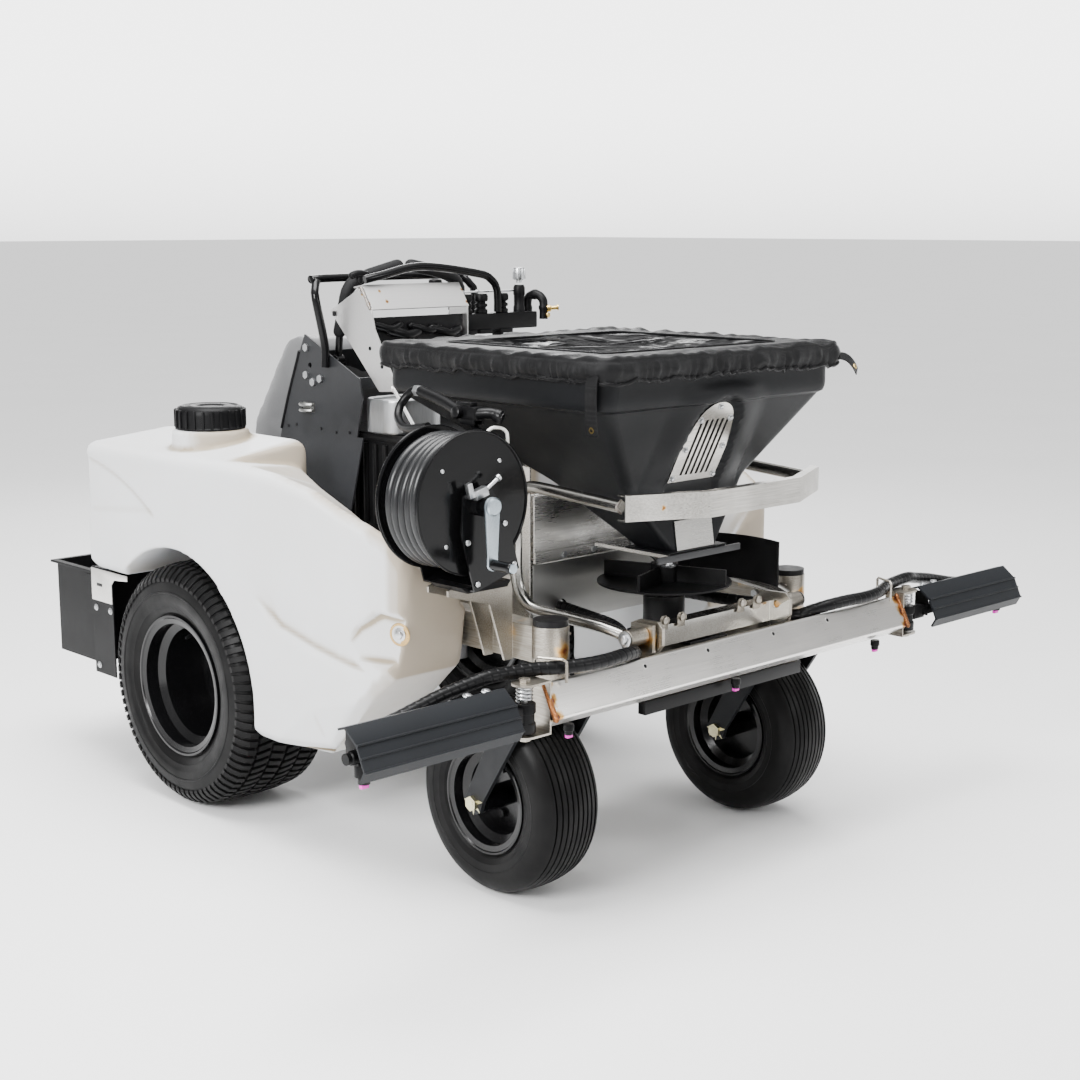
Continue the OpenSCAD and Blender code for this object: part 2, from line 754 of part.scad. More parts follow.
module steering_lever() {
    p = lever_pivot;
    color("#1b1b1d") {
        difference() {
            union() {
                x_rod(p[0] - 12, p[0] + 12, p[1], p[2], 16);
                strut([p[0], p[1], p[2]], [p[0], 177, 1112], 9);
            }
            x_rod(p[0] - 13, p[0] + 13, p[1], p[2], 6 + run);
        }
        tube([[178, 177, 1112], [178, 151, 1193], [172, 147, 1214], [160, 144, 1228], [140, 141, 1238],
            [100, 138, 1250], [28, 147, 1265], [21, 148, 1266]], 15.5, [0, 1, 0], 14);
    }
}

module valve_block() {
    color("#1d1d1f") {
        block([101, 38, 1105], [345, 72, 1150]);
        for (x = [118, 168, 237]) {
            translate([x, 55, 1150]) cylinder(h = 28, r = 15);
            translate([x, 55, 1178]) cylinder(h = 20, r = 16.5);
        }
        translate([297, 55, 1150]) cylinder(h = 66, r = 14);
        tube([[326, 56, 1149], [326, 54, 1176], [327, 44, 1188], [330, 22, 1190], [333, 8, 1180],
            [334, 4, 1166], [334, 4, 1130]], 11, [1, 0, 0]);
        block([222.3, 35, 980], [226, 75, 1105]);
    }
    color(steel) block([102, 64, 1198], [322, 74, 1202]);
}

module regulator_knob() {
    color(steel) translate([297, 55, 1220.3]) {
        cylinder(h = 6, r = 8);
        translate([0, 0, 6]) difference() {
            cylinder(h = 32, r = 16);
            for (a = [0 : 30 : 330])
                rotate(a) translate([16.8, 0, -1]) cylinder(h = 40, r = 2.2, $fn = 16);
        }
    }
}

// ---------- engine and drive ----------

module engine_block() {
    color("#242426") difference() {
        union() {
            rounded_block([-125, -62, 566], [125, 182, 640], 20);
            rounded_block([-198, -95, 640], [198, 215, 882.5], 36);
        }
        translate([0, engine_y, 560]) cylinder(h = 60, r = 12.5 + run);
    }
    color("#242426") rounded_block([-200, 232, 640], [200, 268, 860], 12);
}

module engine_shroud() {
    color("#9a9a9e") rounded_block([-212, -70, 883], [-52, 60, 965], 42);
}

module engine_pulley() {
    color(raw_steel) translate([0, engine_y, 0]) {
        translate([0, 0, pulley_z]) cylinder(h = 4, r = engine_pulley_r + 8);
        translate([0, 0, pulley_z]) cylinder(h = 22, r = engine_pulley_r - 0.4);
        translate([0, 0, pulley_z + 18]) cylinder(h = 4, r = engine_pulley_r + 8);
        translate([0, 0, pulley_z]) cylinder(h = 185, r = 12.5);
    }
}

module hydro_pulley() {
    color(raw_steel) translate([hydro_pulley[0], hydro_pulley[1], 0]) {
        translate([0, 0, pulley_z]) cylinder(h = 4, r = hydro_pulley_r + 8);
        translate([0, 0, pulley_z]) cylinder(h = 22, r = hydro_pulley_r - 0.4);
        translate([0, 0, pulley_z + 18]) cylinder(h = 4, r = hydro_pulley_r + 8);
        translate([0, 0, 380]) cylinder(h = 50, r = 9);
    }
}

module belt_loop(extra) {
    hull() {
        translate([0, engine_y]) circle(r = engine_pulley_r + extra, $fn = 64);
        for (s = [-1, 1])
            translate([s * hydro_pulley[0], hydro_pulley[1]]) circle(r = hydro_pulley_r + extra, $fn = 64);
    }
}

module drive_belt() {
    color("#202020") translate([0, 0, pulley_z + 6]) linear_extrude(belt_h) difference() {
        belt_loop(7);
        belt_loop(gap);
    }
}

module hydro_units() {
    shaft_y = hydro_pulley[1];
    color("#55565a") both_sides() difference() {
        union() {
            rounded_block([178, 215, 225], [262, 350, 396], 14);
            x_rod(255, 325, drive_y, drive_r, 42);
            block([262, 240, 360], [300, 320, 396]);
            block([292, 240, 396], [300, 320, 499.8]);
            translate([hydro_pulley[0], shaft_y, 396]) cylinder(h = 10, r = 20);
        }
        x_rod(280, 330, drive_y, drive_r, 17.5 + run);
        translate([hydro_pulley[0], shaft_y, 370]) cylinder(h = 60, r = 9 + run);
    }
}

module spray_pump() {
    color("#303236") {
        rounded_block([60, -490, 516.2], [150, -400, 566], 12);
        x_rod(-60, 60, -445, 548, 30);
        both_sides() block([120, -502, 538], [142, -490, 562]);
        block([-142, -502, 516.2], [-118, -470, 538]);
        block([-118, -490, 516.2], [-60, -470, 530]);
    }
}

module rear_bins() {
    wall = 4;
    x0 = 332;
    x1 = 560;
    color("#222224") both_sides() {
        difference() {
            union() {
                block([x0, 705, 265], [x1, 905, 505]);
                block([x0 - 2, 695, 499], [x1 + 14, 915, 505]);
            }
            block([x0 + wall, 705 + wall, 265 + wall], [x1 - wall, 905 - wall, 510]);
        }
        block([578, 591, 249], [582, 689, 521.5]);
        block([326.6, 595, 514], [578, 689, 520]);
        block([500, 689, 480], [582, 705, 498]);
        block([578, 689, 400], [582, 720, 498]);
    }
}

// ---------- booms ----------

boom_profile = [[-905, 528], [-925, 534], [-958, 508], [-978, 464], [-966, 443]];

module boom_cover() {
    t = 4;
    inner = [[-906, 524], [-923.5, 529.5], [-954.5, 505.5], [-973.6, 464.6], [-963, 446.5]];
    color("#2d2e31") {
        plate_yz(concat(boom_profile, [for (i = [len(inner) - 1 : -1 : 0]) inner[i]]), 655, boom_end - 5);
        for (x = [690, 735])
            translate([x, -915, 529.6]) rotate([-16, 0, 0]) cylinder(h = t, r = 6);
    }
}

module boom_arm() {
    color("#1c1c1e") {
        difference() {
            translate([boom_pivot_x, pivot_y, 440]) cylinder(h = 57, r = 21);
            translate([boom_pivot_x, pivot_y, 430]) cylinder(h = 80, r = 6 + run);
        }
        difference() {
            block([620, -942, 468], [1000, -918, 490]);
            translate([boom_pivot_x, pivot_y, 430]) cylinder(h = 80, r = 18);
        }
        translate([985, -930, 440]) cylinder(h = 66, r = 17);
        translate([985, -930, 428]) cylinder(h = 12, r = 11);
        tube(boom_route, hose_r);
        strut([968, -877, 490], [985, -918, 485], 9);
        strut([1000, -930, 479], [boom_end, -930, 479], 13);
    }
    color("gold") translate([960, -912, 490]) cylinder(h = 20, r = 7);
}

module spray_lines() {
    color("#1c1c1e") {
        both_sides() tube(feed_route, hose_r);
        tube(gun_tail_route, 9, [1, 0, 0], 8);
        for (x = [-490, 0, 490]) {
            translate([x, -925, 421]) cylinder(h = 13, r = 11);
            translate([x, -925, 412]) cylinder(h = 10, r = 8);
        }
    }
}

module fasteners() {
    color(steel) {
        both_sides() {
            for (p = [[250, 1072], [252, 1006], [196, 1000], [225, 990]])
                translate([222.2, p[0], p[1]]) rotate([0, 90, 0]) hex(17, 7);
            for (x = [60, 150])
                translate([x, -563.4, 667]) rotate([90, 0, 0]) hex(13, 5);
            translate([boom_pivot_x - 270, -700, 530]) rotate([0, -90, 0]) hex(17, 7);
        }
    }
}

main_frame();
kingpin_bushes();
front_beam();
beam_brackets();
platform();
mirror([1, 0, 0]) tank();  // right_tank
tank();  // left_tank
mirror([1, 0, 0]) tank_cap();  // right_tank_cap
tank_cap();  // left_tank_cap
hopper();
hopper_window();
hopper_cover();
hopper_stand();
gate_plate();
gate_handle();
front_bumper();
bumper_tubes();
impeller();
impeller_motor();
splash_panels();
reel_stand();
reel_drum();
reel_hose();
reel_crank();
reel_knob();
spray_gun();
gun_trigger();
control_tower();
operator_pad();
console_bracket();
handlebars();
mirror([1, 0, 0]) steering_lever();  // right_lever
steering_lever();  // left_lever
valve_block();
regulator_knob();
engine_block();
engine_shroud();
engine_pulley();
drive_belt();
hydro_units();
mirror([1, 0, 0]) hydro_pulley();  // right_hydro_pulley
hydro_pulley();  // left_hydro_pulley
spray_pump();
rear_bins();
mirror([1, 0, 0]) drive_wheel();  // right_drive_wheel
drive_wheel();  // left_drive_wheel
mirror([1, 0, 0]) drive_tyre();  // right_drive_tyre
drive_tyre();  // left_drive_tyre
mirror([1, 0, 0]) caster_fork();  // right_caster_fork
caster_fork();  // left_caster_fork
mirror([1, 0, 0]) caster_rim();  // right_caster_rim
caster_rim();  // left_caster_rim
mirror([1, 0, 0]) caster_tyre();  // right_caster_tyre
caster_tyre();  // left_caster_tyre
mirror([1, 0, 0]) boom_cover();  // right_boom_cover
boom_cover();  // left_boom_cover
mirror([1, 0, 0]) boom_arm();  // right_boom_arm
boom_arm();  // left_boom_arm
spray_lines();
fasteners();
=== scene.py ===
"""Stand-on spreader sprayer: its looks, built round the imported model. Metres, row frame."""
from math import atan2, cos, hypot, pi, radians, sin

import bmesh
import bpy
import numpy as np
from mathutils import Matrix, Vector, noise


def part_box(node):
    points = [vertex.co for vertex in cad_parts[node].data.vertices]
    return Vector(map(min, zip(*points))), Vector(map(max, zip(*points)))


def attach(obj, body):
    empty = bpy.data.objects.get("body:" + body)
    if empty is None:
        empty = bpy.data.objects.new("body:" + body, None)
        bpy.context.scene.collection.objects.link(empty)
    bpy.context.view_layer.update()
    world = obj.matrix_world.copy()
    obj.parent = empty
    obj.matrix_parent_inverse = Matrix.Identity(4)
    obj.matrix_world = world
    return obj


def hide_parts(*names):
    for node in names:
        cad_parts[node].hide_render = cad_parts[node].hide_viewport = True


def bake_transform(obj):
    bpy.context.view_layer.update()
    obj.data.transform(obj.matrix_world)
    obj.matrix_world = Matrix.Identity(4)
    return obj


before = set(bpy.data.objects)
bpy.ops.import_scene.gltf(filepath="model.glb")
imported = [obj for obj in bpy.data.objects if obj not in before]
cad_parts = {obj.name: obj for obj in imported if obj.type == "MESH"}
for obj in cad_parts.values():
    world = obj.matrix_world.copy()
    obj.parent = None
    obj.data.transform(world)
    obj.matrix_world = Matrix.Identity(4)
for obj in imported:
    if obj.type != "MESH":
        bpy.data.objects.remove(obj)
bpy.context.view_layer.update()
MACHINE = "machine"
SIDES = (("right", -1), ("left", 1))


def linked(name, data):
    """A new object in the scene that shows the data."""
    made = bpy.data.objects.new(name, data)
    bpy.context.scene.collection.objects.link(made)
    return made


# ---------- camera, floor and light ----------

def make_camera():
    data = bpy.data.cameras.new("camera")
    data.lens = 58.22
    data.sensor_width = 36
    camera = linked("camera", data)
    camera.location = (-2.739, -3.2011, 1.3687)
    towards = Vector((0.67947, 0.7116, -0.17873))
    camera.rotation_euler = towards.to_track_quat("-Z", "Y").to_euler()
    bpy.context.scene.camera = camera


def area_light(name, place, target, size, watts, colour=(1, 1, 1)):
    data = bpy.data.lights.new(name, "AREA")
    data.shape = "RECTANGLE"
    data.size, data.size_y = size
    data.energy = watts
    data.color = colour
    lamp = linked(name, data)
    lamp.location = place
    lamp.rotation_euler = (Vector(target) - Vector(place)).to_track_quat("-Z", "Y").to_euler()


# The room's light: a strength, and the (direction, start, end) cosines that all have to be met.
ROOM_BASE = 0.32
ROOM = ((4.2, (((0.69, 0.72, 0.0), 0.2, 0.7), ((0.0, 0.0, -1.0), -0.24, -0.12),
               ((0.0, 0.0, 1.0), -0.12, 0.08))),
        (2.0, (((0.0, 0.0, 1.0), 0.5, 0.95),)),
        (0.5, (((-0.97, -0.2, 0.12), 0.35, 0.95),)),
        (0.15, (((0.45, -0.88, 0.1), 0.2, 0.95),)))


def make_world():
    """A studio room with a white backdrop, and soft light overhead, in front and from the right."""
    world = bpy.data.worlds.new("studio")
    world.use_nodes = True
    tree = world.node_tree
    background = tree.nodes["Background"]
    background.inputs["Color"].default_value = (1, 1, 1, 1)
    place = tree.nodes.new("ShaderNodeTexCoord").outputs["Generated"]

    def maths(operation, first, second):
        made = tree.nodes.new("ShaderNodeMath")
        made.operation = operation
        for socket, value in zip(made.inputs, (first, second)):
            if isinstance(value, float):
                socket.default_value = value
            else:
                tree.links.new(value, socket)
        return made.outputs["Value"]
    total = ROOM_BASE
    for strength, limits in ROOM:
        zone = strength
        for direction, start, end in limits:
            aim = tree.nodes.new("ShaderNodeVectorMath")
            aim.operation = "DOT_PRODUCT"
            tree.links.new(place, aim.inputs[0])
            aim.inputs[1].default_value = direction
            share = tree.nodes.new("ShaderNodeMapRange")
            share.interpolation_type = "SMOOTHSTEP"
            share.inputs["From Min"].default_value = start
            share.inputs["From Max"].default_value = end
            tree.links.new(aim.outputs["Value"], share.inputs["Value"])
            zone = maths("MULTIPLY", share.outputs["Result"], zone)
        total = maths("ADD", zone, total)
    tree.links.new(total, background.inputs["Strength"])
    bpy.context.scene.world = world


def make_stage():
    make_world()
    area_light("overhead", (-0.6, -0.4, 4.2), (0, 0, 0.5), (3.0, 2.2), 330)
    area_light("key", (-4.4, -1.4, 2.8), (-0.3, 0, 0.6), (1.3, 1.8), 330)
    area_light("front", (1.6, -4.8, 2.2), (0.2, -0.6, 0.6), (2.0, 1.2), 60)
    area_light("rim", (2.6, 3.6, 2.8), (0, 0.2, 0.9), (2.0, 1.4), 80)
    look = Look("floor", Base_Color=(0.9, 0.9, 0.9, 1), Roughness=0.9)
    speck = look.noise(0.4)
    look.colour(look.ramp(speck, (0.3, (0.9, 0.9, 0.9)), (0.7, (0.92, 0.92, 0.92))))
    mesh = bpy.data.meshes.new("floor")
    reach = 120
    mesh.from_pydata([(-reach, -reach, 0), (reach, -reach, 0), (reach, reach, 0), (-reach, reach, 0)],
                     [], [(0, 1, 2, 3)])
    mesh.materials.append(look.material)
    floor = linked("floor", mesh)


# ---------- materials ----------

LOOKS = {}


class Look:
    """A procedural material. Its methods add nodes and return their output sockets."""

    def __init__(self, name, **shader_values):
        self.material = bpy.data.materials.new(name)
        self.material.use_nodes = True
        LOOKS[name] = self.material
        self.tree = self.material.node_tree
        self.shader = self.tree.nodes["Principled BSDF"]
        for key, value in shader_values.items():
            self.shader.inputs[key.replace("_", " ")].default_value = value
        self.place = self.tree.nodes.new("ShaderNodeTexCoord").outputs["Object"]

    def node(self, kind, settings=(), **inputs):
        made = self.tree.nodes.new("ShaderNode" + kind)
        for key, value in dict(settings).items():
            setattr(made, key, value)
        for key, value in inputs.items():
            socket = made.inputs[int(key[1:])] if key[0] == "_" else made.inputs[key.replace("_", " ")]
            if isinstance(value, bpy.types.NodeSocket):
                self.tree.links.new(value, socket)
            else:
                socket.default_value = value
        return made

    def noise(self, size, detail=3.0, stretch=(1, 1, 1), warp=0.0):
        """Noise whose features are about size metres across, longer where stretch is under 1."""
        place = self.node("Mapping", Vector=self.place, Scale=stretch).outputs["Vector"]
        made = self.node("TexNoise", Vector=place, Scale=0.5 / size, Detail=detail, Distortion=warp)
        return made.outputs["Fac"]

    def cells(self, size, feature="F1"):
        made = self.node("TexVoronoi", {"feature": feature}, Vector=self.place, Scale=1 / size)
        return made.outputs["Distance"]

    def ramp(self, factor, *stops):
        made = self.node("ValToRGB", Fac=factor)
        while len(made.color_ramp.elements) < len(stops):
            made.color_ramp.elements.new(0.5)
        for element, (at, colour) in zip(made.color_ramp.elements, stops):
            element.position = at
            element.color = (*colour, 1)
        return made.outputs["Color"]

    def span(self, value, low, high, start=0.3, end=0.7):
        """Maps value from start..end to low..high."""
        return self.node("MapRange", Value=value, From_Min=start, From_Max=end, To_Min=low,
                         To_Max=high).outputs["Result"]

    def maths(self, operation, a, b):
        return self.node("Math", {"operation": operation}, _0=a, _1=b).outputs["Value"]

    def near(self, points, radius):
        """1 at any of the points, falling to 0 at radius, with a ragged edge."""
        ragged = self.maths("MULTIPLY", self.noise(radius / 3), radius)
        found = 0.0
        for point in points:
            away = self.node("VectorMath", {"operation": "DISTANCE"}, _0=self.place, _1=point)
            away = self.maths("ADD", away.outputs["Value"], ragged)
            share = self.span(away, 1.0, 0.0, radius * 0.5, radius * 1.4)
            found = share if found == 0.0 else self.maths("MAXIMUM", found, share)
        return found

    def blend(self, factor, a, b):
        made = self.node("Mix", {"data_type": "RGBA"}, _0=factor, _6=a, _7=b)
        return made.outputs[2]

    def colour(self, socket):
        self.tree.links.new(socket, self.shader.inputs["Base Color"])

    def rough(self, socket):
        self.tree.links.new(socket, self.shader.inputs["Roughness"])

    def bump(self, *layers):
        """Each layer is (height, depth in metres)."""
        under = None
        for height, depth in layers:
            made = self.node("Bump", Height=height, Distance=depth)
            if under:
                self.tree.links.new(under, made.inputs["Normal"])
            under = made.outputs["Normal"]
        self.tree.links.new(under, self.shader.inputs["Normal"])


STRAW = (0.62, 0.38, 0.13)
RUST = (0.2, 0.055, 0.018)
BLUE = (0.05, 0.06, 0.1)


def metal_look(name, dark, light, rough=(0.22, 0.4), grain=(0.04, 1, 1), welds=(), weld_size=0.03):
    """Rolled or brushed metal: long grain lines, soft clouds and heat tint round the welds."""
    look = Look(name, Metallic=1.0)
    lines = look.noise(0.0012, 2, grain)
    clouds = look.noise(0.05, 4)
    mixed = look.maths("ADD", look.maths("MULTIPLY", lines, 0.45), look.maths("MULTIPLY", clouds, 0.55))
    colour = look.ramp(mixed, (0.32, dark), (0.66, light))
    if welds:
        heat = look.near(welds, weld_size)
        tint = look.ramp(heat, (0.1, light), (0.45, STRAW), (0.75, RUST), (0.97, BLUE))
        colour = look.blend(look.span(heat, 0, 1, 0.1, 0.5), colour, tint)
    look.colour(colour)
    look.rough(look.span(mixed, rough[1], rough[0]))
    look.bump((lines, 0.000008), (clouds, 0.00005))


def painted_look(name, colour, rough, coat=0.0, peel=0.0001, dust=1.35, shine=0.3):
    """Powder coat: orange-peel skin, faint dust clouds and rubbed patches."""
    look = Look(name, Coat_Weight=coat, Coat_Roughness=0.08, Specular_IOR_Level=shine)
    clouds = look.noise(0.06, 5)
    look.colour(look.ramp(clouds, (0.35, colour), (0.7, tuple(c * dust for c in colour))))
    look.rough(look.span(look.noise(0.012, 4), rough * 0.85, rough * 1.2))
    look.bump((look.noise(0.0016, 2), peel))


def moulded_look(name, colour, rough, grain=0.0011, depth=0.00012, mottle=1.3, shine=0.3):
    """Moulded plastic or rubber: a fine pebbled skin over slow colour change."""
    look = Look(name, Specular_IOR_Level=shine)
    clouds = look.noise(0.08, 4)
    pebble = look.cells(grain)
    look.colour(look.ramp(clouds, (0.3, colour), (0.72, tuple(c * mottle for c in colour))))
    look.rough(look.span(clouds, rough * 1.1, rough * 0.88))
    look.bump((pebble, depth), (look.noise(0.02, 3), depth * 2))


def tank_look():
    """Rotomoulded natural polyethylene: milky and waxy, with painted shade: darker and creamier on faces
    turned to the front, dark brown in creases and hollows.
    """
    look = Look("tank_plastic", Subsurface_Weight=0.06, Subsurface_Radius=(0.02, 0.014, 0.009),
                Subsurface_Scale=0.3, Specular_IOR_Level=0.3)
    clouds = look.noise(0.16, 3)
    # Painted shade: faces turned to the front (-Y, a little up) are painted darker and creamier, mixed with
    # random mottle.
    facing = look.node("TexCoord").outputs["Normal"]
    ahead = look.node("VectorMath", {"operation": "DOT_PRODUCT"}, _0=facing, _1=(0.0, -0.9, 0.25))
    ahead = look.span(ahead.outputs["Value"], 0.0, 1.0, 0.25, 0.75)
    front_shade_and_mottle = look.maths("ADD", ahead, look.maths("MULTIPLY", clouds, 0.35))
    # Painted shade: creases and hollows, where Pointiness is low, are painted dark brown.
    hollow = look.span(look.node("NewGeometry").outputs["Pointiness"], 0.0, 1.0, 0.499, 0.472)
    front_shaded_skin = look.ramp(front_shade_and_mottle, (0.15, (0.66, 0.67, 0.68)), (0.9, (0.36, 0.31, 0.245)))
    look.colour(look.blend(hollow, front_shaded_skin, (0.3, 0.25, 0.18, 1)))
    look.rough(look.span(look.noise(0.01, 4), 0.36, 0.5))
    look.bump((look.noise(0.004, 2), 0.00012), (look.noise(0.06, 2), 0.0012))


def fabric_look():
    """Coated nylon: a fine plain weave that catches the light at its folds."""
    look = Look("cover_fabric", Sheen_Weight=0.05, Sheen_Roughness=0.4, Specular_IOR_Level=0.12)
    warp = look.node("TexWave", {"bands_direction": "X"}, Vector=look.place, Scale=520.0).outputs["Fac"]
    weft = look.node("TexWave", {"bands_direction": "Y"}, Vector=look.place, Scale=520.0).outputs["Fac"]
    threads = look.maths("MULTIPLY", warp, weft)
    clouds = look.noise(0.03, 4)
    look.colour(look.ramp(clouds, (0.3, (0.003, 0.003, 0.0033)), (0.75, (0.0065, 0.0065, 0.007))))
    look.rough(look.span(clouds, 0.36, 0.5))
    look.bump((threads, 0.00008), (look.noise(0.006, 3), 0.0005))


def film_look():
    """Clear vinyl film that lies in slow ripples over the dark hopper."""
    look = Look("window_film", Specular_IOR_Level=0.0, Coat_Roughness=0.04)
    ripple = look.noise(0.11, 3, (1, 1.6, 1), 1.2)
    look.colour(look.ramp(ripple, (0.35, (0.002, 0.002, 0.0022)), (0.7, (0.005, 0.005, 0.0055))))
    look.tree.links.new(look.span(ripple, 0.05, 0.7, 0.5, 0.66), look.shader.inputs["Coat Weight"])
    look.bump((ripple, 0.009), (look.noise(0.03, 3, warp=2.0), 0.0014))
    bent = look.shader.inputs["Normal"].links[0].from_socket
    look.tree.links.new(bent, look.shader.inputs["Coat Normal"])


def tyre_look():
    look = Look("tyre_rubber", Specular_IOR_Level=0.11)
    clouds = look.noise(0.03, 5)
    look.colour(look.ramp(clouds, (0.3, (0.0028, 0.0028, 0.003)), (0.75, (0.0065, 0.0063, 0.0063))))
    look.rough(look.span(clouds, 0.5, 0.36))
    look.bump((look.noise(0.0014, 3), 0.00015), (look.noise(0.008, 3), 0.0003))


def vinyl_look():
    """Grained cushion vinyl: leather-like cells with a soft satin."""
    look = Look("pad_vinyl", Coat_Weight=0.1, Coat_Roughness=0.35)
    grain = look.cells(0.0028, "SMOOTH_F1")
    clouds = look.noise(0.1, 4)
    look.colour(look.ramp(clouds, (0.3, (0.085, 0.086, 0.088)), (0.75, (0.125, 0.126, 0.128))))
    look.rough(look.span(grain, 0.38, 0.55, 0.0, 0.6))
    look.bump((grain, 0.00035), (look.noise(0.03, 3), 0.0006))


def make_looks():
    beam_y, beam_z = middle("front_beam")[1:]
    ends = [(s * 0.556, beam_y + y, beam_z + z) for s in (-1, 1)
            for y, z in ((-0.05, -0.012), (-0.034, 0.018), (-0.019, 0.046))]
    frame_welds = [(s * x, y, z) for s in (-1, 1) for x, y, z in (
        (0.3, -0.86, 0.5), (0.214, -0.87, 0.54), (0.378, -0.8, 0.53), (0.36, -0.66, 0.55),
        (0.29, -0.85, 0.46), (0.35, -0.06, 0.55), (0.07, -0.86, 0.47))]
    plate_lo, plate_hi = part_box("console_bracket")
    corners = [(plate_lo.x, 0.035, 1.183), (plate_lo.x, 0.055, 1.206), (-0.155, 0.052, 1.208),
               (-0.145, 0.036, 1.186), (plate_hi.x, 0.05, 1.205), (plate_hi.x, 0.03, 1.178)]
    metal_look("raw_stainless", (0.2, 0.18, 0.15), (0.46, 0.43, 0.38), (0.26, 0.48), (1, 0.04, 1),
               frame_welds, 0.035)
    metal_look("tube_stainless", (0.3, 0.29, 0.27), (0.56, 0.55, 0.52), (0.14, 0.3), (1, 0.05, 1))
    metal_look("beam_stainless", (0.72, 0.7, 0.67), (0.88, 0.86, 0.83), (0.24, 0.38), (0.02, 1, 1),
               ends, 0.024)
    metal_look("bright_stainless", (0.62, 0.61, 0.58), (0.84, 0.82, 0.79), (0.2, 0.36), (0.03, 1, 1))
    metal_look("bumper_stainless", (0.36, 0.345, 0.32), (0.7, 0.68, 0.64), (0.18, 0.3), (0.03, 1, 1),
               [(-0.232, -0.925, 0.82)], 0.01)
    metal_look("console_stainless", (0.8, 0.79, 0.78), (0.92, 0.91, 0.9), (0.28, 0.42), (0.03, 1, 1),
               corners, 0.009)
    metal_look("polished_steel", (0.33, 0.33, 0.32), (0.37, 0.37, 0.36), (0.34, 0.38), (1, 1, 1))
    metal_look("bronze", (0.4, 0.25, 0.09), (0.66, 0.45, 0.2))
    metal_look("brass", (0.5, 0.34, 0.1), (0.74, 0.56, 0.22), (0.18, 0.3))
    metal_look("yellow_zinc", (0.46, 0.42, 0.26), (0.66, 0.62, 0.42), (0.22, 0.36))
    metal_look("zinc_plate", (0.44, 0.45, 0.46), (0.66, 0.67, 0.68), (0.24, 0.38), (1, 1, 1))
    metal_look("crank_zinc", (0.3, 0.36, 0.4), (0.5, 0.56, 0.6), (0.3, 0.44), (1, 1, 1))
    metal_look("cast_housing", (0.25, 0.25, 0.26), (0.42, 0.42, 0.43), (0.4, 0.6), (1, 1, 1))
    metal_look("weld_bead", (0.1, 0.09, 0.085), (0.3, 0.27, 0.24), (0.3, 0.5), (1, 1, 1))
    metal_look("burnt_weld", (0.07, 0.035, 0.02), (0.36, 0.14, 0.05), (0.35, 0.55), (1, 1, 1))
    metal_look("grey_shroud", (0.36, 0.37, 0.38), (0.5, 0.51, 0.52), (0.3, 0.4), (1, 1, 0.06))
    painted_look("black_powder_coat", (0.013, 0.0135, 0.015), 0.36, 0.0, 0.00014, shine=0.42)
    painted_look("machine_black", (0.006, 0.006, 0.0065), 0.4, shine=0.2)
    painted_look("gloss_black", (0.003, 0.003, 0.0033), 0.16, 0.0, 0.00005, shine=0.22)
    painted_look("rim_black", (0.003, 0.003, 0.0033), 0.2, 0.05, 0.00004, shine=0.3)
    painted_look("fork_grey", (0.009, 0.0095, 0.0105), 0.42, shine=0.15)
    painted_look("white_paint", (0.72, 0.71, 0.67), 0.3, 0.3)
    moulded_look("boom_grey", (0.0075, 0.0085, 0.0102), 0.42, 0.0008, 0.00006, shine=0.18)
    moulded_look("black_plastic", (0.0035, 0.0035, 0.0038), 0.4, shine=0.12)
    moulded_look("gloss_plastic_black", (0.003, 0.003, 0.0033), 0.32, 0.002, 0.00003, shine=0.14)
    moulded_look("hopper_plastic", (0.0042, 0.0045, 0.0052), 0.38, 0.0012, 0.0002, 1.35, 0.14)
    moulded_look("engine_plastic", (0.005, 0.005, 0.0053), 0.36, shine=0.2)
    moulded_look("hose_rubber", (0.0035, 0.0035, 0.0038), 0.3, 0.003, 0.00005, shine=0.14)
    moulded_look("reel_rubber", (0.008, 0.0083, 0.009), 0.3, 0.003, 0.00004, shine=0.34)
    moulded_look("grip_foam", (0.006, 0.006, 0.0065), 0.7, 0.0009, 0.0002, 1.3, 0.2)
    moulded_look("magenta_plastic", (0.62, 0.03, 0.42), 0.35)
    tank_look()
    fabric_look()
    film_look()
    tyre_look()
    vinyl_look()


# ---------- shapes: each is (vertices, faces) ----------

def mm(*values):
    """Millimetres in the row frame, as a vector in metres."""
    return Vector(values) * 0.001


def shift(*values):
    """A matrix that moves a shape to a place in millimetres."""
    return Matrix.Translation(mm(*values))


def middle(node):
    low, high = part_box(node)
    return (low + high) / 2


def merge(*parts):
    verts, faces = [], []
    for part_verts, part_faces in parts:
        start = len(verts)
        verts += part_verts
        faces += [[i + start for i in face] for face in part_faces]
    return verts, faces


def placed(part, matrix):
    return [matrix @ Vector(v) for v in part[0]], part[1]


def mirrored(part):
    return [Vector((-v[0], v[1], v[2])) for v in part[0]], [face[::-1] for face in part[1]]


def sided(part, side):
    """Parts are drawn on the machine's left, at +X."""
    return part if side > 0 else mirrored(part)


def towards(origin, direction):
    """A matrix that puts a shape drawn about +Z at origin, along direction."""
    turn = Vector(direction).to_track_quat("Z", "Y").to_matrix().to_4x4()
    return Matrix.Translation(Vector(origin)) @ turn


def skin(rings, caps=True, loop=False):
    n, count = len(rings[0]), len(rings)
    faces = []
    for k in range(count if loop else count - 1):
        a, b = k * n, (k + 1) % count * n
        faces += [[a + i, a + (i + 1) % n, b + (i + 1) % n, b + i] for i in range(n)]
    if caps and not loop:
        faces += [list(range(n))[::-1], [(count - 1) * n + i for i in range(n)]]
    return [Vector(p) for ring in rings for p in ring], faces


def lathe(profile, steps=48, matrix=None, loop=False):
    """Turns (radius, height) points about Z, then places the shape."""
    rings = [[(r * cos(2 * pi * k / steps), r * sin(2 * pi * k / steps), z) for k in range(steps)]
             for r, z in profile]
    return placed(skin(rings, True, loop), matrix or Matrix.Identity(4))


def turned(profile, steps=48, matrix=None, loop=False):
    """Turns (radius, height) points in millimetres about Z, then places the shape."""
    return lathe([(r * 0.001, z * 0.001) for r, z in profile], steps, matrix, loop)


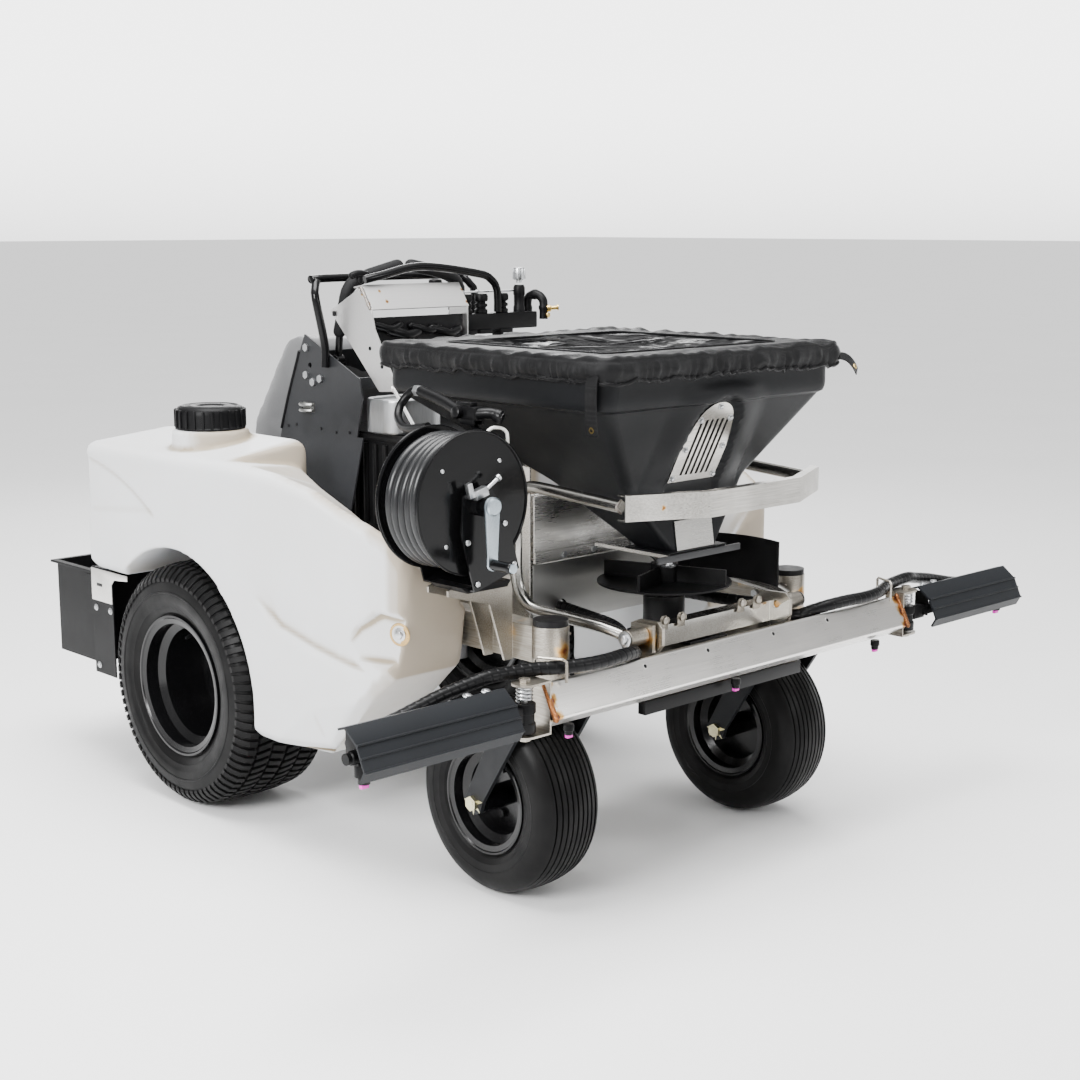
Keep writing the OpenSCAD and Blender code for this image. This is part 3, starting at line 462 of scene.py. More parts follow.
def wheel(profile, centre, steps=120):
    """Turns (along the axle, radius) points about an X axle."""
    turned = lathe([(r, x) for x, r in profile], steps, loop=True)
    return placed(turned, towards(centre, (1, 0, 0)))


def curve(points, step=0.008):
    """A smooth line through the points, resampled about every step metres."""
    points = [Vector(p) for p in points]
    line = []
    for i in range(len(points) - 1):
        before = points[max(i - 1, 0)]
        a, b = points[i], points[i + 1]
        after = points[min(i + 2, len(points) - 1)]
        count = max(1, round((b - a).length / step))
        for k in range(count):
            t = k / count
            line.append(0.5 * (2 * a + (b - before) * t + (2 * before - 5 * a + 4 * b - after) * t ** 2
                               + (3 * a - before - 3 * b + after) * t ** 3))
    return line + [points[-1]]


def sweep(path, radius, sides=16, ends="flat"):
    """A tube along a path. radius is a number, or a function of (metres along, angle)."""
    path = [Vector(p) for p in path]
    size = radius if callable(radius) else (lambda along, angle: radius)
    up = (path[1] - path[0]).orthogonal().normalized()
    turns = [2 * pi * k / sides for k in range(sides)]
    rings, along = [], 0.0
    for i, point in enumerate(path):
        ahead = (path[min(i + 1, len(path) - 1)] - path[max(i - 1, 0)]).normalized()
        up = (up - ahead * up.dot(ahead)).normalized()
        side = ahead.cross(up)
        along += (point - path[i - 1]).length if i else 0.0
        ring = [(up * cos(a) + side * sin(a)) * size(along, a) for a in turns]
        if ends == "round" and i in (0, len(path) - 1):
            out = -ahead if i == 0 else ahead
            reach = size(along, 0)
            caps = [[point + p * cos(t) + out * reach * sin(t) for p in ring]
                    for t in (0.4, 0.8, 1.2, 1.45)]
            end = [[point + p for p in ring]]
            rings += caps[::-1] + end if i == 0 else end + caps
        else:
            rings.append([point + p for p in ring])
    return skin(rings)


def rod(points, radius, sides=16, ends="flat"):
    """A tube with straight runs between points in millimetres."""
    return sweep([mm(*p) for p in points], radius, sides, ends)


def pipe(points, step, radius, sides=16, ends="flat"):
    """A smooth tube through points in millimetres, resampled about every step metres."""
    return sweep(curve([mm(*p) for p in points], step), radius, sides, ends)


def from_bmesh(bm):
    bm.verts.index_update()
    part = [v.co.copy() for v in bm.verts], [[v.index for v in f.verts] for f in bm.faces]
    bm.free()
    return part


def to_bmesh(part):
    bm = bmesh.new()
    verts = [bm.verts.new(v) for v in part[0]]
    for face in part[1]:
        bm.faces.new([verts[i] for i in face])
    bmesh.ops.recalc_face_normals(bm, faces=bm.faces)
    return bm


def softened(part, width, segments=2, least=0.5):
    """Rounds every edge sharper than least radians."""
    bm = to_bmesh(part)
    edges = [e for e in bm.edges if len(e.link_faces) == 2 and e.calc_face_angle() > least]
    bmesh.ops.bevel(bm, geom=edges, offset=width, segments=segments, profile=0.6, affect="EDGES",
                    clamp_overlap=True)
    return from_bmesh(bm)


def block(low, high, width=0.001):
    low, high = Vector(low), Vector(high)
    bm = bmesh.new()
    bmesh.ops.create_cube(bm, size=1)
    for v in bm.verts:
        v.co = Vector([low[i] if v.co[i] < 0 else high[i] for i in range(3)])
    return softened(from_bmesh(bm), width)


def prism(outline, thickness, matrix=None, width=0.0008):
    """An outline in the XY plane, extruded along +Z and softened."""
    rings = [[(x, y, z) for x, y in outline] for z in (0.0, thickness)]
    return placed(softened(skin(rings), width), matrix or Matrix.Identity(4))


def bolt(at, direction, across=0.013, height=0.006, washer=True):
    """A hexagon head with a chamfered top and a washer under it."""
    r = across / 1.732
    head = lathe([(r, 0.0), (r, height * 0.8), (r * 0.86, height)], 6)
    parts = [softened(head, 0.0004, 1, 0.3)]
    if washer:
        parts.append(lathe([(r * 1.45, -0.001), (r * 1.45, 0.0006), (r * 1.35, 0.001), (0.001, 0.001)], 24))
    return placed(merge(*parts), towards(at, direction))


def weld(path, radius=0.003):
    """A bead of overlapping ripples."""
    def ripple(along, angle):
        return radius * (0.82 + 0.18 * abs(sin(along * 900)))
    return sweep(curve(path, 0.0015), ripple, 10, "round")


# ---------- pieces ----------


def show(name, part, look, body=MACHINE, stands_for=(), angle=35):
    """Makes a piece of the object from a shape."""
    bm = to_bmesh(part)
    mesh = bpy.data.meshes.new(name)
    bm.to_mesh(mesh)
    bm.free()
    return adopt(name, mesh, look, body, stands_for, angle)


def adopt(name, mesh, look, body=MACHINE, stands_for=(), angle=35):
    """Makes a piece of the object from a mesh, riding on a body, with its finish and its CAD nodes."""
    mesh.materials.clear()
    mesh.materials.append(LOOKS[look])
    mesh.shade_smooth()
    mesh.set_sharp_from_angle(angle=radians(angle))
    piece = linked(name, mesh)
    if body:
        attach(piece, body)
    if stands_for:
        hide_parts(*stands_for)
    return piece


def bare_copy(node):
    """The welded outer surface of a CAD node as a new bmesh."""
    bm = bmesh.new()
    bm.from_mesh(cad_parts[node].data)
    bmesh.ops.remove_doubles(bm, verts=bm.verts, dist=1e-5)
    return bm


def remeshed(name, bm, voxel, smoothing):
    """A voxel remesh of a closed shape, relaxed so that its edges turn round."""
    mesh = bpy.data.meshes.new(name)
    bm.to_mesh(mesh)
    bm.free()
    holder = linked(name, mesh)
    remesh = holder.modifiers.new("remesh", "REMESH")
    remesh.mode = "VOXEL"
    remesh.voxel_size = voxel
    relax = holder.modifiers.new("relax", "SMOOTH")
    relax.factor = 0.5
    relax.iterations = smoothing
    return applied(holder)


def applied(holder):
    """The evaluated mesh of an object, which is then removed."""
    depsgraph = bpy.context.evaluated_depsgraph_get()
    mesh = bpy.data.meshes.new_from_object(holder.evaluated_get(depsgraph))
    bpy.data.objects.remove(holder)
    return mesh


def reshape(mesh, move):
    """Moves every vertex by move(x, y, z) -> (dx, dy, dz), on numpy columns in millimetres."""
    co = np.zeros(len(mesh.vertices) * 3)
    mesh.vertices.foreach_get("co", co)
    co = co.reshape(-1, 3)
    x, y, z = co.T * 1000
    co += np.stack(move(x, y, z), axis=1) * 0.001
    mesh.vertices.foreach_set("co", co.ravel())
    mesh.update()


def step(value, start, end):
    """0 before start, 1 after end, smooth between."""
    t = np.clip((value - start) / (end - start), 0, 1)
    return t * t * (3 - 2 * t)


# ---------- saddle tanks ----------

FILLER = (470, 300)


def tank_outer_skin():
    """The tank's outer surface alone, closed over its neck."""
    bm = bare_copy("left_tank")
    bore = 0.0635
    inside = [f for f in bm.faces if all(
        hypot(v.co.x - FILLER[0] * 0.001, v.co.y - FILLER[1] * 0.001) < bore for v in f.verts)]
    bmesh.ops.delete(bm, geom=inside, context="FACES")
    start = max(bm.verts, key=lambda v: v.co.x)
    kept, edge = {start}, [start]
    while edge:
        v = edge.pop()
        for link in v.link_edges:
            other = link.other_vert(v)
            if other not in kept:
                kept.add(other)
                edge.append(other)
    bmesh.ops.delete(bm, geom=[v for v in bm.verts if v not in kept], context="VERTS")
    bmesh.ops.holes_fill(bm, edges=bm.edges, sides=0)
    return bm


# The tank's moulded lines as (distance ahead of the axle line's Y zero, height), in millimetres.
BELLY = ((74, 158, 279, 394, 491, 545), (556, 510, 485, 466, 457, 457))
POCKET_ROOF = ((366, 425, 481, 545, 620), (494, 555, 590, 582, 590))
POCKET_OUT, POCKET_BACK = 0.951, 0.308
LOWER_FACET = ((40, 131, 273, 476, 491, 560), (190, 250, 351, 410, 452, 455))


def tank_relief(x, y, z):
    """Moulded relief: swept side panel, belly line, front corner pocket and lower facet."""
    outer = step(x, 560, 596)
    roof = 694 - (y - 360) * 0.1
    crest = 812 - (640 - y) * 0.12 - (640 - y) ** 2 * 0.0009
    panel = step(y, 300, 372) * step(z, roof - 20, roof + 14) * step(-z, -crest, 14 - crest)
    above = z - np.interp(-y, *BELLY)
    belly = step(above, -14, 8) * step(-above, -90, 0) * step(-y, 40, 140) * step(y, -480, -400)
    below = np.interp(-y, *LOWER_FACET) - z
    facet = np.clip(below, 0, 110) * step(-y, 30, 90)
    dx = outer * (-4.5 * panel - 11.0 * belly - 0.5 * facet)
    # A slanting cut at the front corner, from the side's skin to the front face.
    beyond = POCKET_OUT * (x + dx - 613) - POCKET_BACK * (y + 366)
    pocket = np.clip(beyond, 0, None) * step(z, 476, 486) * step(np.interp(-y, *POCKET_ROOF) - z, -5, 5)
    pocket *= step(x, 300, 420) * step(-y, 340, 380)
    return dx - POCKET_OUT * pocket, POCKET_BACK * pocket, np.zeros_like(x)


def make_tanks():
    mesh = remeshed("tank", tank_outer_skin(), 0.006, 4)
    reshape(mesh, tank_relief)
    smoothed = linked("tank", mesh)
    relax = smoothed.modifiers.new("relax", "SMOOTH")
    relax.iterations = 2
    mesh = applied(smoothed)
    for name, side in SIDES:
        half = mesh.copy()
        if side < 0:
            half.transform(Matrix.Scale(-1, 4, (1, 0, 0)))
            half.flip_normals()
        adopt(name + "_tank_shell", half, "tank_plastic", stands_for=[name + "_tank"], angle=60)
        low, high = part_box(name + "_tank_cap")
        cap_axis = ((low.x + high.x) / 2, (low.y + high.y) / 2, low.z)
        show(name + "_filler_cap", placed(filler_cap(high.z - low.z), Matrix.Translation(cap_axis)),
             "black_plastic", name + "_cap", stands_for=[name + "_tank_cap"])
        out = Vector((side * POCKET_OUT, -POCKET_BACK, 0))
        seat = mm(side * 613, -366, 548) + Vector((side * -POCKET_BACK, -POCKET_OUT, 0)) * 0.155
        cup = turned([(1, -1), (19, -1), (19, 1.2), (23, 1.2), (24.5, 0)], 36, towards(seat, out))
        show(name + "_tank_boss", cup, "bronze")
        stud = bolt(seat + out * 0.001, out, 0.017, 0.007)
        show(name + "_tank_bolt", stud, "zinc_plate")


def filler_cap(height):
    top = [(0.001, height - 0.004), (0.03, height - 0.004), (0.034, height - 0.001), (0.05, height),
           (0.056, height - 0.003), (0.06, height - 0.003), (0.066, height), (0.074, height - 0.003),
           (0.079, height - 0.009), (0.08, height - 0.02), (0.08, 0.006), (0.082, 0.004), (0.082, 0.0),
           (0.072, 0.0), (0.0705, height - 0.012), (0.001, height - 0.012)]
    ribs = []
    for k in range(24):
        rib = block((0.076, -0.0032, 0.004), (0.0838, 0.0032, height - 0.008), 0.0014)
        ribs.append(placed(rib, Matrix.Rotation(2 * pi * k / 24, 4, "Z")))
    return merge(lathe(top, 72), *ribs)


# ---------- tyres ----------

CROWN_FLAT, CROWN_DROP, SHOULDER_DROP = 0.092, 0.004, 0.034


def crown(x, half, radius):
    """Drive tread radius at a distance from the tyre's middle."""
    x = abs(x)
    if x < CROWN_FLAT:
        return radius - CROWN_DROP * (x / CROWN_FLAT) ** 2
    return radius - CROWN_DROP - SHOULDER_DROP * ((x - CROWN_FLAT) / (half - CROWN_FLAT)) ** 2


# One pitch of staggered turf lugs: (places along the axle, skew across the row, phase).
DRIVE_TREAD = (((0.004, 0.022, 0.04), 0.009, 0.0), ((0.045, 0.062, 0.08), -0.009, 0.5),
               ((0.086, 0.106, 0.122, 0.13), 0.006, 0.1))
LUGS_ROUND = 78


def lug(xs, skew, angle, width, radius, half, depth):
    """A raised block across part of the tread, at an angle round the wheel."""
    rings = []
    for k, x in enumerate(xs):
        lean = skew * (k / (len(xs) - 1) - 0.5) / radius
        top = crown(x, half, radius)
        low = top - depth
        inset = 0.0012 if k in (0, len(xs) - 1) else 0.0
        spread = width / 2 / radius
        ring = []
        for r, part in ((low, 1.12), (top - 0.001, 1.0), (top, 0.86), (top, -0.86), (top - 0.001, -1.0),
                        (low, -1.12)):
            a = angle + lean + part * spread
            if r > low:
                r -= inset
            ring.append((r * cos(a), r * sin(a), x))
        rings.append(ring)
    return skin(rings)


def drive_tyre(radius, half):
    wall = [(0.113, 0.1526), (0.1145, 0.17), (0.12, 0.178), (0.1225, 0.186), (0.1265, 0.19),
            (0.1295, 0.204), (0.1305, 0.206), (0.131, 0.222), (0.1325, 0.2235), (0.1325, 0.2265),
            (0.131, 0.228), (0.129, 0.244), (0.1255, 0.256), (0.12, 0.266)]
    tread = [(x, crown(x, half, radius) - 0.0075) for x in (0.112, 0.1, 0.085, 0.05, 0.0)]
    side = wall + tread
    profile = side + [(-x, r) for x, r in side[::-1]][1:]
    parts = [lathe([(r, x) for x, r in profile], 144, loop=True)]
    for xs, skew, phase in DRIVE_TREAD:
        for k in range(LUGS_ROUND):
            angle = 2 * pi * (k + phase) / LUGS_ROUND
            parts.append(lug(xs, skew, angle, 0.0145, radius, half, 0.009))
            parts.append(lug([-x for x in xs], skew, angle + pi / LUGS_ROUND, 0.0145, radius, half, 0.009))
    return merge(*parts)


def caster_tyre(radius, half):
    grooves = [0.0135 * k for k in range(-4, 5)]
    wall = [(0.0675, 0.1018), (0.069, 0.117), (0.0755, 0.123), (0.079, 0.133), (0.08, 0.1345),
            (0.0815, 0.15), (0.0825, 0.1515), (0.082, 0.162), (0.0785, 0.175), (0.0725, 0.185),
            (0.065, 0.192)]

    def top(x):
        return radius - 0.0085 * (abs(x) / 0.062) ** 2.2
    tread = [(0.0615, top(0.0615))]
    for g in grooves[::-1]:
        tread += [(g + 0.0022, top(g)), (g + 0.0016, top(g) - 0.0045), (g - 0.0016, top(g) - 0.0045),
                  (g - 0.0022, top(g))]
    tread.append((-0.0615, top(0.0615)))
    profile = wall + tread + [(-x, r) for x, r in wall[::-1]]
    return lathe([(r, x) for x, r in profile], 144, loop=True)


def make_tyres():
    for name, side in SIDES:
        for kind, build, body in (("drive", drive_tyre, "_drive"), ("caster", caster_tyre, "_caster")):
            node = f"{name}_{kind}_tyre"
            low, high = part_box(node)
            part = build((high.z - low.z) / 2, (high.x - low.x) / 2)
            part = placed(part, towards((low + high) / 2, (side, 0, 0)))
            show(node + "_rubber", part, "tyre_rubber", name + body, stands_for=[node], angle=28)
        stem_at = middle(name + "_drive_tyre") + Vector((side * 0.07, 0.0, 0.118))
        valve = sweep([stem_at, stem_at + Vector((side * 0.022, 0, -0.006))], 0.004, 12, "round")
        show(name + "_drive_valve", valve, "black_plastic", name + "_drive")


# ---------- hopper ----------

HOPPER_LEVELS = ((690, 70, -806, -700), (831, 187, -784, -550), (1010, 350, -873, -230),
                 (1112, 362, -897, -205))


def hopper_at(z):
    """Half width, front and rear of the hopper at a height, with its creases eased."""
    ease = 9.0
    values = np.zeros(3)
    for offset in (-ease, 0.0, ease):
        level = min(max(z + offset, HOPPER_LEVELS[0][0]), HOPPER_LEVELS[-1][0])
        for low, high in zip(HOPPER_LEVELS, HOPPER_LEVELS[1:]):
            if low[0] <= level <= high[0]:
                t = (level - low[0]) / (high[0] - low[0])
                values += [(low[k] + t * (high[k] - low[k])) / 3 for k in (1, 2, 3)]
                break
    return values


def hopper_ring(z, inset, front_points=60):
    half, front, rear = hopper_at(z)
    half, front, rear = half - inset, front + inset, rear - inset
    radius = min(16 + 30 * max(0, (z - 760) / 352), half * 0.8) - inset * 0.6
    ring = []
    xs = [(-half + radius) + (2 * (half - radius)) * k / front_points for k in range(front_points)]
    ring += [(x, front) for x in xs]
    for cx, cy, start in ((half - radius, front + radius, -90), (half - radius, rear - radius, 0),
                          (-half + radius, rear - radius, 90), (-half + radius, front + radius, 180)):
        ring += [(cx + radius * cos(radians(start + a)), cy + radius * sin(radians(start + a)))
                 for a in range(0, 91, 10)]
    return [Vector((x, y, z)) for x, y in ring]


SLOPE = atan2(89, 179)


def window_rise(p):
    """How far the front wall stands proud round the window pocket, in millimetres."""
    along = (p.z - 831) / cos(SLOPE)
    round_centre, half = 140, 66 + 14 * max(0.0, min(1.0, (120 - along) / 60))
    beyond = max(0.0, along - round_centre)
    away = hypot(p.x, beyond) - half
    rise = 12.0 * float(step(away, 0, 5)) * float(step(-away, -95, -16))
    return rise * float(step(p.z, 780, 850)) * float(step(-p.z, -1062, -1030))


def make_hopper():
    heights = sorted([690 + 422 * k / 84 for k in range(85)] + [1003 + 1.6 * k for k in range(7)])
    outer = []
    for z in heights:
        ring = hopper_ring(z, 0)
        for p in ring:
            if p.y < -700 and abs(p.x) < 150:
                p.y -= window_rise(p)
            band = 9.0 * float(step(z, 1004, 1011)) * float(step(-z, -1070, -1016))
            away = (p - Vector((0, -551, z))).normalized()
            p += Vector((away.x, away.y, 0)) * band
        outer.append(ring)
    inner = [hopper_ring(z, 5) for z in heights[::-1]]
    rings = [[p * 0.001 for p in ring] for ring in outer + inner]
    shell = skin(rings, loop=True)
    flange = block(mm(-92, -815, 690.2), mm(92, -690, 694), 0.001)
    show("hopper_shell", merge(shell, flange), "hopper_plastic", stands_for=["hopper"], angle=50)
    out = Vector((0, -cos(SLOPE), -sin(SLOPE)))
    up = Vector((0, -sin(SLOPE), cos(SLOPE)))
    face = mm(0, -784, 831) + out * 0.0036
    rows = ((64, 18), (58, 88), (46, 158))
    spots = [(side * x, v) for x, v in rows for side in (-1, 1)] + [(0, 188)]
    bolts = [bolt(face + mm(x, 0, 0) + up * v * 0.001, out, 0.009, 0.005) for x, v in spots]
    show("window_bolts", merge(*bolts), "zinc_plate")


# ---------- fabric cover ----------

COVER_HEM = 1068
COVER_TOP = 1116
RIM_ROUND = 8
WINDOW = (268, -800, -318)
COVER_MIDDLE = np.array([0.0, -551.0])


def cover_outline(half, front, rear, radius, count=640):
    """count points round a rounded rectangle, evenly spaced, from the middle of the front."""
    corners = ((half, front, -90), (half, rear, 0), (-half, rear, 90), (-half, front, 180))
    dense = [(0.0, front)]
    for cx, cy, start in corners:
        ox = cx - radius if cx > 0 else cx + radius
        oy = cy + radius if cy == front else cy - radius
        dense += [(ox + radius * cos(radians(start + a)), oy + radius * sin(radians(start + a)))
                  for a in range(0, 91, 6)]
    dense.append((0.0, front))
    lengths = [0.0]
    for a, b in zip(dense, dense[1:]):
        lengths.append(lengths[-1] + hypot(b[0] - a[0], b[1] - a[1]))
    at = np.linspace(0, lengths[-1], count, endpoint=False)
    xs = np.interp(at, lengths, [p[0] for p in dense])
    ys = np.interp(at, lengths, [p[1] for p in dense])
    return np.stack([xs, ys], axis=1)


def folds(p, size, seed, slow=0.35):
    """Ridged noise from -1 to 1 that runs down the skirt and across the band."""
    n = noise.noise(Vector((p[0] / size, p[1] / size, p[2] / size * slow + seed)))
    m = noise.noise(Vector((p[0] / size * 1.9, p[1] / size * 1.9, p[2] / size * slow + seed + 7.7)))
    return max(-1.0, min(1.0, 1.5 * n + 0.6 * m))


def loft(rings, caps=False):
    """A skin through rings of points in millimetres."""
    return skin([[Vector(p) * 0.001 for p in ring] for ring in rings], caps)


def closed_cord(points, radius, sides):
    """A thin round edging that follows a closed line of points in millimetres."""
    path = [Vector(p) * 0.001 for p in points]
    return sweep(path + [path[0]], radius, sides)


def cover_rings(rim, opening):
    """Rings of the cover's cloth: across the flat band, over the rim, and down the gathered skirt."""
    chord = np.roll(rim, -2, axis=0) - np.roll(rim, 2, axis=0)
    outward = np.stack([chord[:, 1], -chord[:, 0]], axis=1)
    outward /= np.linalg.norm(outward, axis=1)[:, None]
    edges = list(zip(rim, opening, outward))
    band, turn, skirt = 14, 5, 14
    drop = COVER_TOP - RIM_ROUND - COVER_HEM

    def gather(edge, along):
        return folds((edge[0], edge[1], along), 46, 3.0, 0.55)

    def on_band(t, edge, hole, out):
        spot = hole + (edge - out * RIM_ROUND - hole) * t
        return *spot, COVER_TOP + 1 - 3 * (1 - t) + gather(edge, 260 * t) * 5.5 * t ** 1.5 - 1.0 * t

    def on_turn(t, edge, hole, out):
        a = t * pi / 2
        spot = edge - out * RIM_ROUND * (1 - sin(a))
        return *spot, COVER_TOP - RIM_ROUND * (1 - cos(a)) + gather(edge, 260) * 5.5 * cos(a)

    def on_skirt(t, edge, hole, out):
        wide = gather(edge, 260 + 60 * t)
        fine = folds((edge[0], edge[1], 30 * t), 11.5, 11.0, 0.3)
        proud = 2.0 + 4.0 * sin(pi * min(1, t * 1.1)) + 5.0 * wide * sin(pi * t * 0.9)
        spot = edge + out * max(proud + 5.0 * fine * t ** 1.2, -3.0)
        return *spot, COVER_TOP - RIM_ROUND - drop * t + 5.0 * fine * t * t + 4.0 * wide * t
    zones = [(on_band, k / band) for k in range(band + 1)]
    zones += [(on_turn, k / turn) for k in range(1, turn + 1)]
    zones += [(on_skirt, k / skirt) for k in range(1, skirt + 1)]
    return [[place(t, *edge) for edge in edges] for place, t in zones]


def film_shape(opening):
    """The window film, which sags a little from its seam."""
    rings = []
    for k in range(14):
        t = k / 13
        ring = []
        for hole in opening:
            spot = COVER_MIDDLE + (hole + (hole - COVER_MIDDLE) * 0.02 - COVER_MIDDLE) * (1 - t * 0.999)
            dip = -9.0 * step(t, 0.0, 0.8) + 3.0 * folds((spot[0], spot[1], 0), 120, 21.0)
            ring.append((*spot, COVER_TOP - 1.6 + dip))
        rings.append(ring)
    verts, faces = loft(rings, caps=True)
    return verts, [face for face in faces if len(face) < 5 or face[0] > len(opening)]


def make_cover():
    rim = cover_outline(367, -902, -200, 34)
    opening = cover_outline(*WINDOW, 16)
    rings = cover_rings(rim, opening)
    sheet = show("hopper_cover_fabric", loft(rings), "cover_fabric", stands_for=["hopper_cover"], angle=180)
    thicken = sheet.modifiers.new("cloth", "SOLIDIFY")
    thicken.thickness = 0.0009
    thicken.offset = 0.0

    def puckered(along, angle):
        return 0.0036 * (0.8 + 0.35 * abs(sin(along * 330 + 2 * angle)))
    hem = show("cover_elastic_hem", closed_cord(rings[-1][::2], puckered, 8), "cover_fabric", angle=180)
    window = show("cover_window_film", film_shape(opening), "window_film", angle=180)
    seam = closed_cord([(x, y, COVER_TOP - 0.4) for x, y in opening[::4]], 0.0022, 6)
    binding = show("cover_window_seam", seam, "cover_fabric", angle=180)
    make_straps()


def strap(path, side, width, name):
    """A webbing strap along a path, with a brass grommet near its end."""
    side = Vector(side).normalized()
    rings = []
    for i, p in enumerate(path):
        ahead = (path[min(i + 1, len(path) - 1)] - path[max(i - 1, 0)]).normalized()
        out = ahead.cross(side).normalized()
        rings.append([p + side * s * width / 2 + out * t * 0.0011 for s, t in
                      ((-1, -1), (1, -1), (1, 1), (-1, 1))])
    show(name, skin(rings), "cover_fabric", angle=60)
    at = path[-1] + (path[-2] - path[-1]).normalized() * 0.012
    ahead = (path[-1] - path[-2]).normalized()
    out = ahead.cross(side).normalized()
    ring = turned([(3.2, -1.8), (6.2, -1.8), (6.6, 0), (6.2, 1.8), (3.2, 1.8)], 28, towards(at, out),
                  True)
    show(name + "_grommet", ring, "brass")


def make_straps():
    front = curve([mm(-372, -868, 1082), mm(-377, -868, 1064), mm(-378, -868, 1030), mm(-376, -868, 995),
                   mm(-374, -869, 966)], 0.006)
    strap(front, (0, 1, 0), 0.03, "cover_strap_right")
    far = curve([mm(352, -890, 1082), mm(364, -900, 1084), mm(378, -908, 1078), mm(388, -916, 1064),
                 mm(392, -922, 1050)], 0.005)
    strap(far, (0.75, 0.45, 0.5), 0.026, "cover_strap_left")


# ---------- hoses ----------

FEED_ROUTE = ((130, -508, 552), (150, -560, 550), (165, -640, 548), (178, -720, 546), (196, -770, 544),
              (218, -805, 540), (240, -845, 526), (262, -876, 519), (284, -902, 531), (315, -926, 542),
              (360, -940, 547), (410, -945, 547), (460, -941, 547), (505, -928, 547), (535, -916, 548),
              (562, -906, 549))
BOOM_ROUTE = ((612, -895, 549), (662, -889, 549), (700, -882, 542), (766, -876, 530), (815, -875, 519),
              (860, -875, 509), (915, -876, 499), (968, -877, 490))
GUN_TAIL = ((-452, -446, 1031), (-454, -430, 1029), (-460, -418, 1018), (-472, -412, 1000),
            (-486, -420, 983), (-498, -440, 970), (-508, -466, 962), (-516, -496, 962),
            (-521, -526, 966), (-524, -550, 970), (-525, -562, 972))


def wrapped(radius, pitch):
    """Surface of a hose in spiral wrap: flat bands with a narrow gap between turns."""
    def size(along, angle):
        turn = (along / pitch - angle / (2 * pi)) % 1.0
        gap = min(turn, 1 - turn)
        return radius - 0.0012 * (1 - min(1.0, gap / 0.07)) + 0.0005 * turn
    return size


def make_hoses():
    for name, side in SIDES:
        route = [mm(side * x, y, z) for x, y, z in FEED_ROUTE + BOOM_ROUTE]
        hose = show(name + "_spray_hose", sweep(curve(route, 0.0016), wrapped(0.013, 0.018), 22),
                    "hose_rubber", None, stands_for=["spray_lines"] if side > 0 else (), angle=50)
        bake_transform(hose)
        collar = rod([(side * 124, -496, 552), (side * 132, -512, 552)], 0.0145, 20)
        show(name + "_hose_collar", collar, "zinc_plate")
    tail = pipe(GUN_TAIL, 0.004, 0.0088, 16)
    show("gun_hose_tail", tail, "hose_rubber")
    nozzles = []
    tips = []
    for x in (-490, 0, 490):
        top = mm(x, -925, 412)
        nozzles.append(turned([(9.5, 21), (10.5, 18), (10.5, 9), (8.5, 7), (8.5, 1), (7.8, 0)], 20,
                              Matrix.Translation(top)))
        tips.append(block(top + mm(-7, -4, -6), top + mm(7, 4, 1), 0.001))
    show("beam_nozzle_bodies", merge(*nozzles), "black_plastic")
    show("beam_nozzle_tips", merge(*tips), "magenta_plastic")


# ---------- booms ----------

def boom_parts():
    """The break-away boom behind its cover, at +X."""
    pivot = mm(605, -925, 440)
    knuckle = turned([(6.2, 0), (20, 0), (21, 1.5), (21, 18), (18.5, 21), (18.5, 36), (21, 39),
                      (21, 55.5), (20, 57), (6.2, 57)], 40, Matrix.Translation(pivot), True)
    neck = block(mm(621, -940, 462), mm(662, -920, 492), 0.003)
    arm = block(mm(655, -942, 468), mm(1000, -918, 490), 0.002)
    webs = [block(mm(x, -940, 464), mm(x + 4, -905, 520), 0.0008) for x in (672, 850, 1000)]
    body = turned([(10.5, 0), (11, 1), (11, 12), (17, 14), (17.2, 44), (15, 48), (15, 62), (17.2, 66),
                   (17.2, 76), (14, 78)], 28, shift(985, -930, 428))
    elbow = pipe([(964, -877, 491), (978, -884, 489), (984, -900, 486), (985, -918, 485)], 0.003,
                 0.0095, 18)
    cross = turned([(11.5, 0), (12.8, 2), (12.8, 14), (10.5, 16), (10.5, 24)], 24,
                   towards(mm(1000, -930, 479), (1, 0, 0)))
    wings = [placed(block(mm(-2, -13, 0), mm(2, 13, 14), 0.001), towards(mm(1001, -930, 479), (1, 0, 0))
                    @ Matrix.Rotation(a, 4, "Z")) for a in (0.4, 0.4 + pi / 2)]
    return merge(knuckle, neck, arm, *webs, body, elbow, cross, *wings)


def make_booms():
    for name, side in SIDES:
        boom = name + "_boom"
        show(boom + "_linkage", sided(boom_parts(), side), "black_plastic", boom,
             stands_for=[name + "_boom_arm"])
        plug = turned([(7.2, 0), (7.2, 14), (6, 15), (6, 20)], 20, shift(960, -912, 490))
        cap = block(mm(952, -920, 509), mm(968, -904, 513), 0.001)
        show(boom + "_check_valve", sided(plug, side), "brass", boom)
        show(boom + "_check_cap", sided(cap, side), "gloss_plastic_black", boom)
        tip = block(mm(977, -934, 420), mm(993, -926, 431), 0.001)
        show(boom + "_nozzle_tip", sided(tip, side), "magenta_plastic", boom)
        rails = []
        for y, z in ((-958.5, 508.5), (-978.3, 464.0), (-968, 487)):
            rails.append(rod([(655, y, z), (1020, y, z)], 0.0022, 10))
        ends = [bolt(mm(x, -915, 532), (0, -0.28, 0.96), 0.012, 0.004) for x in (690, 735)]
        show(boom + "_cover_beads", sided(merge(*rails), side), "boom_grey", boom)
        show(boom + "_cover_bolts", sided(merge(*ends), side), "zinc_plate", boom)


# ---------- bumper, frame and front details ----------

